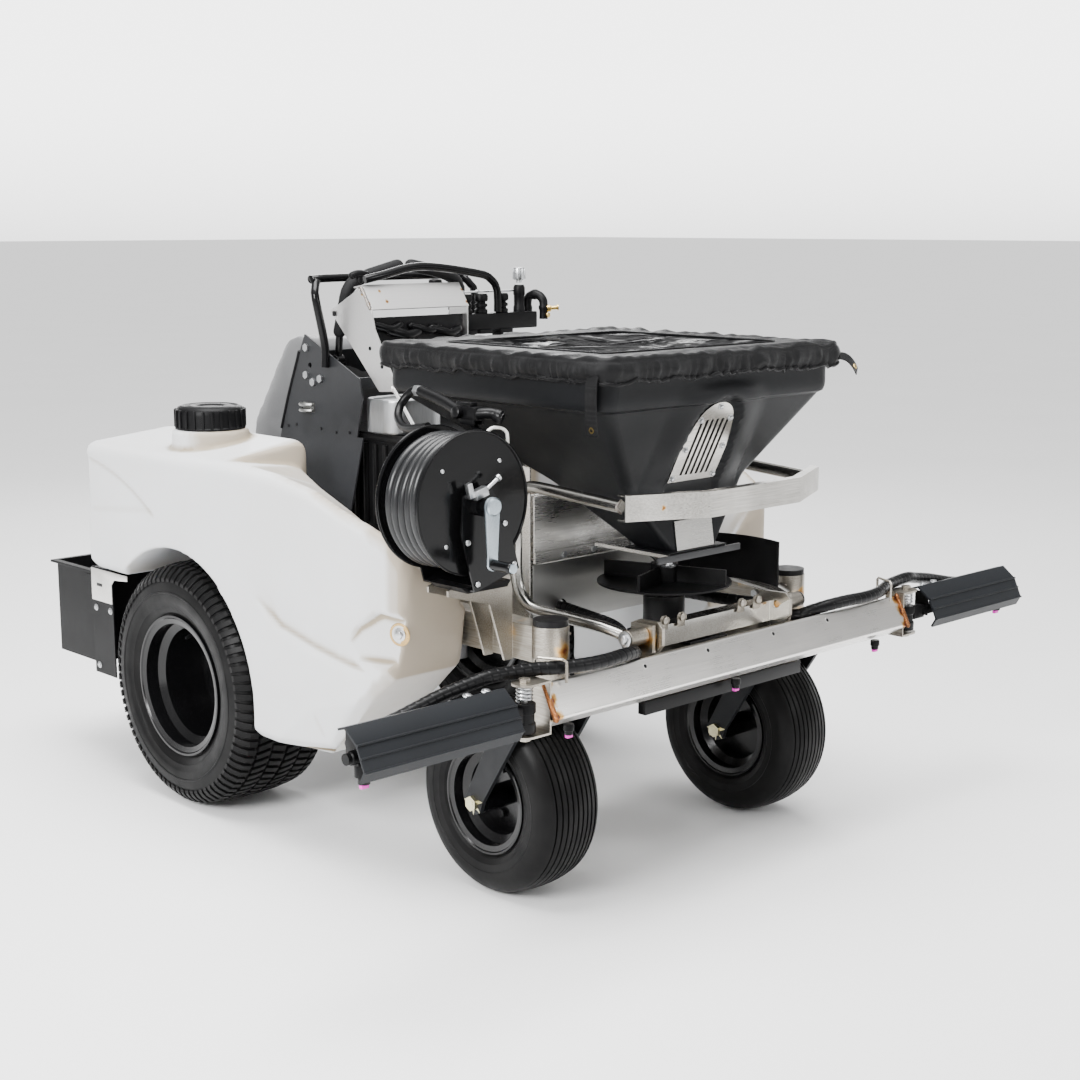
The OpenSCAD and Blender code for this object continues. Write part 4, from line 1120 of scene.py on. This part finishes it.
BUMPER_BOW = ((297, -872, 822), (299, -760, 829), (300, -640, 835), (300, -604, 829), (300, -582, 808),
              (300, -575, 780), (300, -575, 715), (300, -575, 650), (299, -584, 612), (298, -602, 590),
              (295, -630, 578), (285, -715, 572), (275, -800, 566), (264, -850.5, 556))


def square_tube(half, corner, wall, length):
    """A hollow square tube along X with rounded corners, inside and out."""
    def ring(x, edge, radius):
        inner = edge - radius
        return [(x, cx * inner + radius * cos(a), cz * inner + radius * sin(a))
                for cx, cz, start in ((1, 1, 0), (-1, 1, 1), (-1, -1, 2), (1, -1, 3))
                for a in [(start + k / 6) * pi / 2 for k in range(7)]]
    small = 0.0006
    rings = [ring(-length, half - small, corner - small), ring(-length + small, half, corner)]
    rings += [ring(length - small, half, corner), ring(length, half - small, corner - small)]
    rings += [ring(length, half - wall, corner - wall), ring(-length, half - wall, corner - wall)]
    return skin(rings, loop=True)


def make_beam():
    """The spray beam: rolled square tube, drilled for hose clips; each hole is a black disc of painted
    shade inside a thin rim.
    """
    low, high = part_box("front_beam")
    tilt, reach = radians(-28.6), (high.x - low.x) / 2
    half = (high.z - low.z) / 2 / (cos(tilt) + sin(abs(tilt)))
    turn = Matrix.Translation((low + high) / 2) @ Matrix.Rotation(tilt, 4, "X")
    tube = square_tube(half, 0.007, 0.004, reach)
    show("spray_beam", placed(tube, turn), "beam_stainless", stands_for=["front_beam"], angle=40)
    rims, hole_shade_discs = [], []
    for x in (-0.292, -0.105, 0.105, 0.292):
        face = towards((x, -half, 0.02), (0, -1, 0))
        rims.append(placed(turned([(4, -3), (4.2, 0.3), (5, 0.3), (5.4, 0)], 24, face, True), turn))
        # Painted shade: a black disc sunk into the tube's face stands for the dark inside of each hole.
        hole_shade_discs.append(placed(turned([(0.1, 0.1), (4.1, 0.1), (4.1, -1), (0.1, -1)], 24, face), turn))
    show("beam_hole_rims", merge(*rims), "beam_stainless")
    show("beam_hole_shade", merge(*hole_shade_discs), "machine_black")


def make_bumper_tubes():
    """The two bent tubes that carry the bumper, each on a pin through a barrel on the frame."""
    axle = towards(mm(223, -868, 552), (1, 0, 0))
    for name, side in SIDES:
        bow = pipe(BUMPER_BOW, 0.01, 0.0129, 28)
        nodes = ["bumper_tubes"] if side > 0 else ()
        show(name + "_bumper_tube", sided(bow, side), "tube_stainless", stands_for=nodes)
        barrel = turned([(8, 0), (16, 0), (17, 1), (17, 50), (16, 51), (8, 51)], 40, axle, True)
        pin = turned([(7.7, -17), (7.7, 57), (1, 58)], 24, axle)
        show(name + "_bumper_barrel", sided(merge(barrel, pin), side), "raw_stainless")
        head = bolt(mm(278.5, -868, 552), (1, 0, 0), 0.02, 0.008)
        collar = turned([(8.5, 0), (17.5, 0), (17.5, 6), (8.5, 6)], 32,
                        towards(mm(207, -868, 552), (1, 0, 0)), True)
        show(name + "_bumper_pin_bolt", sided(head, side), "zinc_plate")
        show(name + "_bumper_spacer", sided(collar, side), "yellow_zinc")


# Weld beads on the machine's left: (radius, points), in millimetres.
FRAME_BEADS = ((2.8, ((297, -873, 809), (310, -873, 822), (297, -873, 835))),
               (3.0, ((214, -857, 500), (214, -891, 520))), (3.0, ((340, -797, 496), (372, -722, 496))),
               (3.0, ((336, -736, 500), (344, -780, 500))), (3.0, ((336, -736, 560), (344, -780, 560))))
BEAM_BEADS = ((6.2, ((561, -964, 462), (561.5, -947, 495), (561, -930, 527))),)


def make_weld_beads():
    for name, look, beads in (("frame", "weld_bead", FRAME_BEADS), ("beam", "burnt_weld", BEAM_BEADS)):
        drawn = [sided(weld([mm(*p) for p in points], radius * 0.001), side)
                 for _, side in SIDES for radius, points in beads]
        show(name + "_weld_beads", merge(*drawn), look)


def make_frame_tabs():
    """Round-topped tabs and bosses on the front cross tube."""
    hooks = []
    for side in (-1, 1):
        for x in (96, 148):
            tab = prism([(-0.011, 0.0), (0.011, 0.0), (0.011, 0.024), (0.006, 0.03), (-0.006, 0.03),
                         (-0.011, 0.024)], 0.003, towards(mm(x, -853.4, 548), (0, -1, 0)))
            hooks.append(sided(tab, side))
            hooks.append(sided(turned([(5, 0), (9, 1), (9, 8), (5, 10)], 20,
                                      towards(mm(x, -855, 568), (0, -1, 0))), side))
    show("frame_tabs", merge(*hooks), "raw_stainless")


def make_bin_brackets():
    """The plate that hangs each rear bin, a black patch of painted shade where its slot is, and its bolts.
    """
    outside = Matrix(((0, 0, 1, 0.5822), (1, 0, 0, 0), (0, 1, 0, 0), (0, 0, 0, 1)))
    for name, side in SIDES:
        plate = prism([(0.591, 0.437), (0.688, 0.437), (0.688, 0.519), (0.515, 0.519), (0.515, 0.506),
                       (0.578, 0.5), (0.591, 0.486)], 0.002, outside, 0.0005)
        # Painted shade: a thin black patch on the plate's face stands for the opening of its slot.
        painted_slot_shade = block(mm(584.0, 636, 475), mm(584.5, 662, 483), 0.0002)
        show(name + "_bin_bracket", sided(plate, side), "bright_stainless")
        show(name + "_bin_bracket_slot_shade", sided(painted_slot_shade, side), "machine_black")
        spots = ((672, 418), (604, 418), (668, 270))
        pins = [bolt(mm(582.4, y, z), (1, 0, 0), 0.01, 0.004) for y, z in spots]
        show(name + "_bin_bolts", sided(merge(*pins), side), "zinc_plate")


def make_front():
    make_beam()
    make_bumper_tubes()
    make_weld_beads()
    make_frame_tabs()
    make_bin_brackets()
    strip = block(mm(-250, -900, 396), mm(250, -880, 424), 0.001)
    show("beam_under_strip", strip, "gloss_plastic_black")
    make_linkage()


def make_linkage():
    """Black gate arm under the hopper with its zinc bolts, right of the outlet."""
    near, far = mm(-75, -801, 662), mm(21, -655, 662)
    turn = atan2(far.y - near.y, far.x - near.x)
    reach = (far - near).length
    arm = prism([(0.0, -0.015), (reach, -0.011), (reach + 0.011, 0.0), (reach, 0.011), (0.0, 0.015),
                 (-0.015, 0.0)], 0.005, Matrix.Translation(near) @ Matrix.Rotation(turn, 4, "Z"))
    show("gate_link_arm", arm, "black_powder_coat")
    bolts = [bolt(point + mm(0, 0, 5), (0, 0, 1), 0.013, 0.006) for point in (near, far)]
    show("gate_link_bolts", merge(*bolts), "zinc_plate")
    apron = block(mm(-130, -822, 676), mm(130, -816, 690), 0.001)
    show("outlet_apron", apron, "black_powder_coat")


# ---------- hose reel ----------

def reel_turn():
    """The reel stand leans by this much about Y."""
    return shift(-530, 0, 835) @ Matrix.Rotation(radians(-16), 4, "Y")


def make_reel():
    low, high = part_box("reel_hose")
    centre = (low + high) / 2
    pitch, wraps = 0.021, 5
    outer = (high.x - low.x) / 2 - pitch / 2
    path = []
    steps = 72
    for k in range(wraps * steps - steps // 6):
        turn = k / steps
        angle = 2 * pi * turn
        along = low.y + pitch / 2 + pitch * (turn * (wraps - 1) / (wraps - 1 / 6))
        swell = outer + 0.0022 * sin(angle + turn) + 0.0012 * sin(3 * angle + 1.3 * turn)
        along += 0.001 * sin(2 * angle + turn)
        path.append(Vector((centre.x + swell * cos(angle), along, centre.z + swell * sin(angle))))
    hose = sweep(path, pitch / 2 - 0.0003, 18, "round")
    core = lathe([(0.0605, low.y + 0.001), (outer - 0.004, low.y + 0.001), (outer - 0.004, high.y - 0.001),
                  (0.0605, high.y - 0.001)], 72, loop=True)
    core = placed(core, Matrix.Translation((centre.x, 0, centre.z)) @ Matrix.Rotation(-pi / 2, 4, "X"))
    show("reel_hose_wraps", hose, "reel_rubber", "reel", stands_for=["reel_hose"], angle=60)
    show("reel_hose_core", core, "reel_rubber", "reel")
    crank = crank_arm()
    show("reel_crank_arm", crank, "crank_zinc", "reel", stands_for=["reel_crank"])
    knob_low, knob_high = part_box("reel_knob")
    length = knob_high.y - knob_low.y
    profile = [(0.0061, 0.0), (0.0095, 0.0), (0.011, 0.002), (0.0102, length * 0.3), (0.01, length * 0.5),
               (0.0104, length * 0.8), (0.011, length - 0.002), (0.0098, length), (0.0061, length)]
    show("crank_grip", lathe(profile, 36, towards((-0.53, knob_high.y, 0.722), (0, -1, 0)), True),
         "gloss_black", "crank_knob", stands_for=["reel_knob"])
    make_reel_details()


def crank_arm():
    top, bottom = Vector((-0.53, -0.7522, 0.835)), Vector((-0.53, -0.7522, 0.722))
    outline = [(0.0185 * cos(pi * k / 18), 0.0185 * sin(pi * k / 18)) for k in range(19)]
    small = [(0.0125 * cos(pi + pi * k / 12), -0.113 + 0.0125 * sin(pi + pi * k / 12)) for k in range(13)]
    outline += [(-0.0125, -0.095), *small, (0.0125, -0.095)]
    plate = prism(outline, 0.0058, Matrix.Translation(top) @ Matrix.Rotation(pi / 2, 4, "X"), 0.0014)
    boss = turned([(18.5, 0), (18.5, 4), (15, 7), (1, 7.5)], 36,
                  towards(top - Vector((0, 0.0056, 0)), (0, -1, 0)))
    stem = turned([(5.8, 0), (5.8, 60), (9.2, 60.5), (9.2, 63.5), (1, 64)], 24,
                  towards(bottom, (0, -1, 0)))
    return merge(plate, boss, stem)


def make_reel_details():
    studs = []
    for k in range(4):
        a = radians(138 + 90 * k)
        at = mm(-530 + 104 * cos(a), -700.4, 835 + 104 * sin(a))
        studs.append(turned([(4.5, 0), (4, 1.5), (1, 2.4)], 20, towards(at, (0, -1, 0))))
    show("reel_flange_studs", merge(*studs), "zinc_plate", "reel")
    roll = [sweep([mm(-530 + 141 * cos(a), y, 835 + 141 * sin(a)) for a in np.linspace(0, 2 * pi, 97)],
                  0.0022, 10) for y in (-701.5, -578.5)]
    show("reel_rolled_edges", merge(*roll), "gloss_black", "reel")
    turn = reel_turn()
    lock = [block(mm(-16, -736, 16), mm(16, -719.5, 34), 0.001),
            block(mm(-26, -730, 22), mm(-14, -719.5, 52), 0.001),
            turned([(4, 0), (4, 30), (7, 31), (7, 37)], 16, towards(mm(20, -728, 26), (1, 0, 0.3)))]
    show("reel_pin_lock", placed(merge(*lock), turn), "zinc_plate")
    rivets = [bolt(mm(x, -719.4, z), (0, -1, 0), 0.011, 0.004, False)
              for x in (-50, 50) for z in (-60, -148)]
    show("reel_stand_bolts", placed(merge(*rivets), turn), "zinc_plate")
    foot = prism([(-0.075, 0.0), (0.055, 0.0), (0.045, -0.013), (-0.06, -0.013)], 0.1,
                 shift(-485, -600, 671) @ Matrix.Rotation(pi / 2, 4, "X"))
    show("reel_foot_pad", foot, "black_plastic")


def make_gun():
    def ribbed(along, angle):
        return 0.011 + 0.0008 * abs(sin(along * 260))
    grip = pipe([(-452, -452, 1030), (-457, -500, 1022), (-463, -545, 1013), (-471, -590, 1002),
                 (-476, -612, 998)], 0.006, ribbed, 18)
    body = block(mm(-487, -656, 986), mm(-459, -604, 1014), 0.005)
    cheeks = [block(mm(x, -654, 978), mm(x + 6, -612, 990), 0.002) for x in (-487, -465)]
    hood = block(mm(-483, -640, 1010), mm(-463, -596, 1022), 0.004)
    dial = turned([(10, 0), (12, 2), (12, 12), (9, 14)], 20,
                  towards(mm(-487, -612, 1000), (-1, 0, 0.2)))
    barrel = pipe([(-473, -650, 1000), (-464, -668, 1002), (-456, -680, 1001), (-450, -692, 996)],
                  0.005, 0.0115, 18)
    nose = turned([(12.5, 0), (14, 3), (14, 12), (10.5, 16), (10.5, 18), (5, 19)], 24,
                  towards(mm(-455, -682, 1000), (0.4, -0.8, -0.35)))
    show("spray_gun_body", merge(grip, body, *cheeks, hood, dial, barrel, nose), "gloss_plastic_black",
         stands_for=["spray_gun"])
    hook = pipe([(-430, -690.6, 905), (-430, -690.6, 952), (-434, -690.6, 966), (-448, -690.6, 974),
                 (-470, -690.6, 976), (-482, -690.6, 970)], 0.004, 0.0034, 12, "round")
    show("gun_wire_hook", hook, "white_paint")
    swivel = turned([(9.5, 0), (11.8, 2), (11.8, 14), (9.5, 16)], 6,
                    towards(mm(-452, -452, 1030), (0, 1, 0.05)))
    show("gun_hose_nut", swivel, "zinc_plate")


# ---------- control tower and console ----------

REAR_BAR = ((-232.3, 165, 1030), (-232.3, 165, 1085), (-250, 172, 1190), (-246, 180, 1212),
            (-232, 192, 1230), (-205, 203, 1238))
FRONT_BAR = ((-190, 61, 1238), (-150, 54, 1246), (-24, 52, 1266), (150, 46, 1246), (192, 43, 1230),
             (208, 42, 1210), (212, 42, 1185), (212, 42, 1150.5))
GRIP = ((178, 177, 1112), (178, 151, 1193), (172, 147, 1214), (160, 144, 1228), (140, 141, 1238),
        (100, 138, 1250), (28, 147, 1265), (21, 148, 1266))


def make_guard_bars():
    rear = [mm(*p) for p in REAR_BAR] + [mm(-x, y, z) for x, y, z in REAR_BAR[::-1]]
    bars = merge(sweep(curve(rear, 0.012), 0.0099, 24), pipe(FRONT_BAR, 0.01, 0.0099, 24))
    show("guard_bars", bars, "gloss_black", stands_for=["handlebars"])


def make_levers():
    """The two steering levers: foam grip, arm on its hub, and clamp."""
    for name, side in SIDES:
        lever = name + "_steer"
        grip = pipe(GRIP, 0.006, lambda along, angle: 0.0153 + 0.0002 * sin(along * 900), 26, "round")
        show(name + "_lever_grip", sided(grip, side), "grip_foam", lever, stands_for=[name + "_lever"])
        hub = turned([(6.1, -12), (15, -12), (16, -11), (16, 11), (15, 12), (6.1, 12)], 32,
                     towards(mm(178, 185, 1040), (1, 0, 0)), True)
        arm = rod([(178, 184, 1053), (178, 177, 1112), (178, 170, 1130)], 0.009, 20)
        show(name + "_lever_arm", sided(merge(hub, arm), side), "gloss_black", lever)
        clamp = turned([(15.5, 0), (18.5, 1), (18.5, 11), (15.5, 12)], 30,
                       towards(mm(178, 165, 1150), (0, -0.3, 0.95)), True)
        tab = block(mm(194, 158, 1150), mm(206, 168, 1162), 0.0015)
        show(name + "_lever_clamp", sided(merge(clamp, tab), side), "machine_black", lever)


def make_gate_handle():
    handle = merge(rod([(-175, 100, 1118), (-175, 100, 1242)], 0.004, 16),
                   pipe([(-196, 100, 1247), (-186, 100, 1250), (-175, 100, 1251), (-164, 100, 1250),
                         (-154, 100, 1247)], 0.004, 0.0088, 20, "round"),
                   turned([(4.5, 0), (7.5, 2), (8.5, 10), (7.5, 16)], 24,
                          shift(-175, 100, 1228)))
    show("gate_t_handle", handle, "black_plastic", "gate_pull", stands_for=["gate_handle"])


def make_controls():
    make_guard_bars()
    make_levers()
    make_gate_handle()
    make_console()
    make_valves()
    make_tower()


def make_console():
    corner = weld([mm(-203, 26, 1171), mm(-203, 44, 1198), mm(-203, 60, 1220)], 0.0035)
    show("console_corner_weld", corner, "weld_bead")
    knob = turned([(10, -12), (16.5, -8), (16.5, 1), (14, 4), (1, 5.5)], 30, shift(40, 78, 1229))
    show("console_plug_knob", knob, "black_plastic")
    strut = merge(rod([(-204.5, -60, 990), (-262, -215, 905), (-300, -300, 866)], 0.0042, 10),
                  bolt(mm(-203, -52, 992), (-1, 0, 0), 0.01, 0.005))
    show("console_strut", strut, "console_stainless")
    holes = [turned([(4.8, 0), (4.8, 0.6), (1, 0.6)], 16, towards(mm(-202.2, y, z), (-1, 0, 0)))
             for y, z in ((-14, 1040), (30, 1080))]
    show("console_plugs", merge(*holes), "black_plastic")
    cans = []
    for x, z, r in ((-150, 1128, 9), (-96, 1112, 12), (-30, 1120, 8), (34, 1112, 10)):
        cans.append(pipe([(x - 40, 40, z + 8), (x - 12, 34, z), (x + 16, 34, z - 6),
                          (x + 46, 40, z + 2)], 0.006, r * 0.001, 14, "round"))
    show("console_cables", merge(*cans), "hose_rubber")


def make_valves():
    """Three shut-off valves and the regulator on their manifold."""
    parts = [block(mm(101, 38, 1107), mm(345, 72, 1148), 0.004)]
    for x in (118, 168, 237):
        profile = [(0.015, 0.0), (0.0165, 0.002), (0.0165, 0.009), (0.012, 0.011), (0.012, 0.015),
                   (0.016, 0.017), (0.016, 0.023), (0.011, 0.025), (0.011, 0.028), (0.016, 0.03),
                   (0.0165, 0.032), (0.0165, 0.044), (0.0145, 0.048), (0.001, 0.049)]
        parts.append(lathe(profile, 30, shift(x, 55, 1148)))
        for k in range(8):
            rib = block(mm(15.5, -1.2, 32), mm(17.2, 1.2, 43), 0.0004)
            parts.append(placed(rib, shift(x, 55, 1148) @ Matrix.Rotation(pi * k / 4, 4, "Z")))
        parts.append(block(mm(x - 20, 34, 1098), mm(x + 20, 60, 1108), 0.002))
    parts.append(turned([(15, 0), (15, 12), (13.5, 15), (13.5, 40), (15, 43), (15, 60), (12, 67)], 30,
                        shift(297, 55, 1148)))

    def collared(along, angle):
        return 0.011 + (0.002 if along % 0.05 < 0.012 else 0.0)
    parts.append(pipe([(326, 56, 1149), (326, 54, 1176), (327, 44, 1188), (330, 22, 1190),
                       (333, 8, 1180), (334, 4, 1166), (334, 4, 1130)], 0.005, collared, 20))
    parts.append(block(mm(222.3, 35, 980), mm(226, 75, 1106), 0.001))
    show("valve_bodies", merge(*parts), "black_plastic", stands_for=["valve_block"])
    bar = merge(block(mm(102, 64, 1198), mm(322, 74, 1202), 0.0008),
                *[bolt(mm(x, 69, 1202.2), (0, 0, 1), 0.008, 0.003) for x in (118, 168, 237)])
    show("valve_flat_bar", bar, "zinc_plate")
    fitting = merge(turned([(6, 0), (9, 2), (9, 10), (5, 13), (5, 26), (7.5, 27), (7.5, 31)], 20,
                           towards(mm(336, -4, 1156), (0.75, -0.65, 0.1))),
                    bolt(mm(334, -8, 1140), (0, -1, 0), 0.012, 0.007, False))
    show("valve_brass_fitting", fitting, "brass")
    low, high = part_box("regulator_knob")
    knob = lathe([(0.008, 0.0), (0.008, 0.006), (0.0145, 0.007), (0.0158, 0.009),
                  (0.0158, high.z - low.z - 0.004), (0.014, high.z - low.z), (0.001, high.z - low.z)],
                 36)
    flute = block((0.0146, -0.0014, 0.009), (0.0166, 0.0014, high.z - low.z - 0.003), 0.0006)
    ribs = [placed(flute, Matrix.Rotation(2 * pi * k / 20, 4, "Z")) for k in range(20)]
    show("regulator_fluted_knob", placed(merge(knob, *ribs), Matrix.Translation((0.297, 0.055, low.z))),
         "zinc_plate", "regulator", stands_for=["regulator_knob"])


def make_tower():
    latch = []
    for _, side in SIDES:
        base = mm(side * 223.5, 246, 928)
        latch.append(block(base + mm(-2, -22, -12), base + mm(4, 22, 12), 0.002))
        for dz in (-7, 7):
            latch.append(sweep(curve([base + mm(side * 6, -18, dz), base + mm(side * 14, -4, dz),
                                      base + mm(side * 12, 16, dz), base + mm(side * 4, 26, dz)], 0.003),
                               0.0048, 14, "round"))
    show("tower_latches", merge(*latch), "polished_steel")
    edge = pipe([(0, 283, 1062), (0, 292, 1040), (0, 330, 955), (0, 364, 868)], 0.02, 0.006, 12)
    strips = [placed(edge, shift(side * 219, 0, 0)) for side in (-1, 1)]
    show("tower_edge_trim", merge(*strips), "black_plastic")
    screws = []
    for side in (-1, 1):
        for y, z in ((88, 880), (140, 876), (200, 880), (300, 882), (334, 876)):
            screws.append(turned([(4, 0), (4, 1.2), (1, 1.8)], 14,
                                 towards(mm(side * 222.2, y, z), (side, 0, 0))))
    show("tower_rivets", merge(*screws), "machine_black")


def make_engine():
    can = remeshed("can", bare_copy("engine_shroud"), 0.004, 8)
    adopt("engine_grey_cover", can, "grey_shroud", stands_for=["engine_shroud"], angle=60)
    ribs = []
    for side in (-1, 1):
        for k in range(7):
            y = -62 + 36 * k
            ribs.append(sided(block(mm(196, y, 668), mm(206, y + 14, 858), 0.004), side))
    for k in range(8):
        x = -158 + 42 * k
        ribs.append(block(mm(x, -104, 668), mm(x + 18, -93, 858), 0.004))
    ribs.append(prism([(-0.202, -0.09), (0.202, -0.09), (0.202, 0.2), (-0.202, 0.2)], 0.016,
                      shift(0, 0, 862), 0.006))
    show("engine_shroud_ribs", merge(*ribs), "engine_plastic")


# ---------- operator pad ----------

def make_pad():
    """A thick moulded cushion: the foam block is blown up against its cover, then relaxed."""
    mesh = remeshed("pad", bare_copy("operator_pad"), 0.012, 10)
    holder = linked("pad", mesh)
    before = np.zeros(len(mesh.vertices) * 3)
    mesh.vertices.foreach_get("co", before)
    cloth = holder.modifiers.new("cloth", "CLOTH")
    cloth.settings.use_pressure = True
    cloth.settings.uniform_pressure_force = 4
    cloth.settings.effector_weights.gravity = 0
    cloth.settings.quality = 5
    for moment in range(1, 21):
        bpy.context.scene.frame_set(moment)
    mesh = applied(holder)
    after = np.zeros(len(mesh.vertices) * 3)
    mesh.vertices.foreach_get("co", after)
    moved = (after - before).reshape(-1, 3)
    far = np.linalg.norm(moved, axis=1)
    most = 0.01
    moved *= np.minimum(1, most / np.maximum(far, 1e-9))[:, None]
    mesh.vertices.foreach_set("co", (before.reshape(-1, 3) + moved).ravel())
    mesh.update()
    bpy.context.scene.frame_set(1)
    holder = linked("pad", mesh)
    relax = holder.modifiers.new("relax", "SMOOTH")
    relax.iterations = 3
    rounder = holder.modifiers.new("rounder", "SUBSURF")
    rounder.levels = 1
    rounder.render_levels = 1
    mesh = applied(holder)
    pad = adopt("operator_cushion", mesh, "pad_vinyl", stands_for=["operator_pad"], angle=180)


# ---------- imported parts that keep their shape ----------

# Look, then the nodes that have it, each with the rounding of its edges in millimetres.
DRESSED = {
    "raw_stainless": {"main_frame": 1.2, "beam_brackets": 0, "gate_plate": 0.6},
    "bronze": {"kingpin_bushes": 0},
    "black_powder_coat": {"platform": 0.8, "control_tower": 0.8},
    "bumper_stainless": {"hopper_window": 0.3, "front_bumper": 0.9},
    "bright_stainless": {"hopper_stand": 0.7},
    "polished_steel": {"splash_panels": 0.6},
    "console_stainless": {"console_bracket": 0.8},
    "machine_black": {"impeller_motor": 0.8, "engine_pulley": 0.8, "right_hydro_pulley": 0.8,
                      "left_hydro_pulley": 0.8},
    "gloss_black": {"reel_stand": 0.8, "reel_drum": 0},
    "gloss_plastic_black": {"gun_trigger": 0.8},
    "engine_plastic": {"engine_block": 2.0},
    "hose_rubber": {"drive_belt": 0},
    "cast_housing": {"hydro_units": 1.5},
    "black_plastic": {"impeller": 0.8, "spray_pump": 1.0, "rear_bins": 1.4},
    "rim_black": {"right_drive_wheel": 0, "left_drive_wheel": 0, "right_caster_rim": 0,
                  "left_caster_rim": 0},
    "fork_grey": {"right_caster_fork": 1.2, "left_caster_fork": 1.2},
    "boom_grey": {"right_boom_cover": 0.8, "left_boom_cover": 0.8},
    "zinc_plate": {"fasteners": 0.6}}
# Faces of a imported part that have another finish: node, look, and a test of the face's middle in mm.
TRIM = [
    ("console_bracket", "machine_black",
     lambda x, y, z: 43 < y < 50.5 and 1059 < z < 1151 and -198 < x < 97
     or hypot(hypot(x - 40, y - 78), z - 1222) < 16),
    ("kingpin_bushes", "machine_black",
     lambda x, y, z: z > 580.2 or (z > 579 and hypot(abs(x) - 378, y + 759) > 22.5)),
    ("splash_panels", "black_plastic", lambda x, y, z: y < -564 or (583 < z < 591 and abs(x) > 198)),
    ("splash_panels", "bright_stainless", lambda x, y, z: z > 654 and y > -564),
    ("impeller", "zinc_plate", lambda x, y, z: z < 599 and hypot(x, y + 720) < 9),
    ("beam_brackets", "zinc_plate",
     lambda x, y, z: hypot(abs(x) - 605, y + 925) < 19 and 497 < z < 530),
    ("main_frame", "tube_stainless",
     lambda x, y, z: 507 < z < 557 and y < -811 and abs(x) < 201)]
for name, _ in SIDES:
    TRIM += [(name + "_caster_fork", "yellow_zinc",
              lambda x, y, z: hypot(y + 638, z - 203) < 17.5),
             (name + "_drive_wheel", "zinc_plate",
              lambda x, y, z: hypot(y - 282, z - 292) < 71 and abs(x) < 432)]


def dress_packed_parts():
    for look, nodes in DRESSED.items():
        for node, width in nodes.items():
            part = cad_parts[node]
            part.data.materials.clear()
            part.data.materials.append(LOOKS[look])
            if width:
                soften_packed(part, width * 0.001)
    for node, look, test in TRIM:
        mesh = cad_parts[node].data
        mesh.materials.append(LOOKS[look])
        number = len(mesh.materials) - 1
        for face in mesh.polygons:
            centre = face.center * 1000
            if test(centre.x, centre.y, centre.z):
                face.material_index = number


def soften_packed(part, width):
    """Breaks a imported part's edges with modifiers, and leaves its vertices alone."""
    mesh = part.data
    if mesh.attributes.get("custom_normal"):
        mesh.attributes.remove(mesh.attributes["custom_normal"])
    mesh.shade_smooth()
    joined = part.modifiers.new("joined", "WELD")
    joined.merge_threshold = 0.00001
    edges = part.modifiers.new("edges", "BEVEL")
    edges.width = width
    edges.segments = 2
    edges.limit_method = "ANGLE"
    edges.angle_limit = radians(32)
    edges.harden_normals = True
    edges.use_clamp_overlap = True


make_camera()
make_looks()
make_stage()
dress_packed_parts()
make_tanks()
make_tyres()
make_hopper()
make_cover()
make_hoses()
make_booms()
make_front()
make_reel()
make_gun()
make_controls()
make_engine()
make_pad()
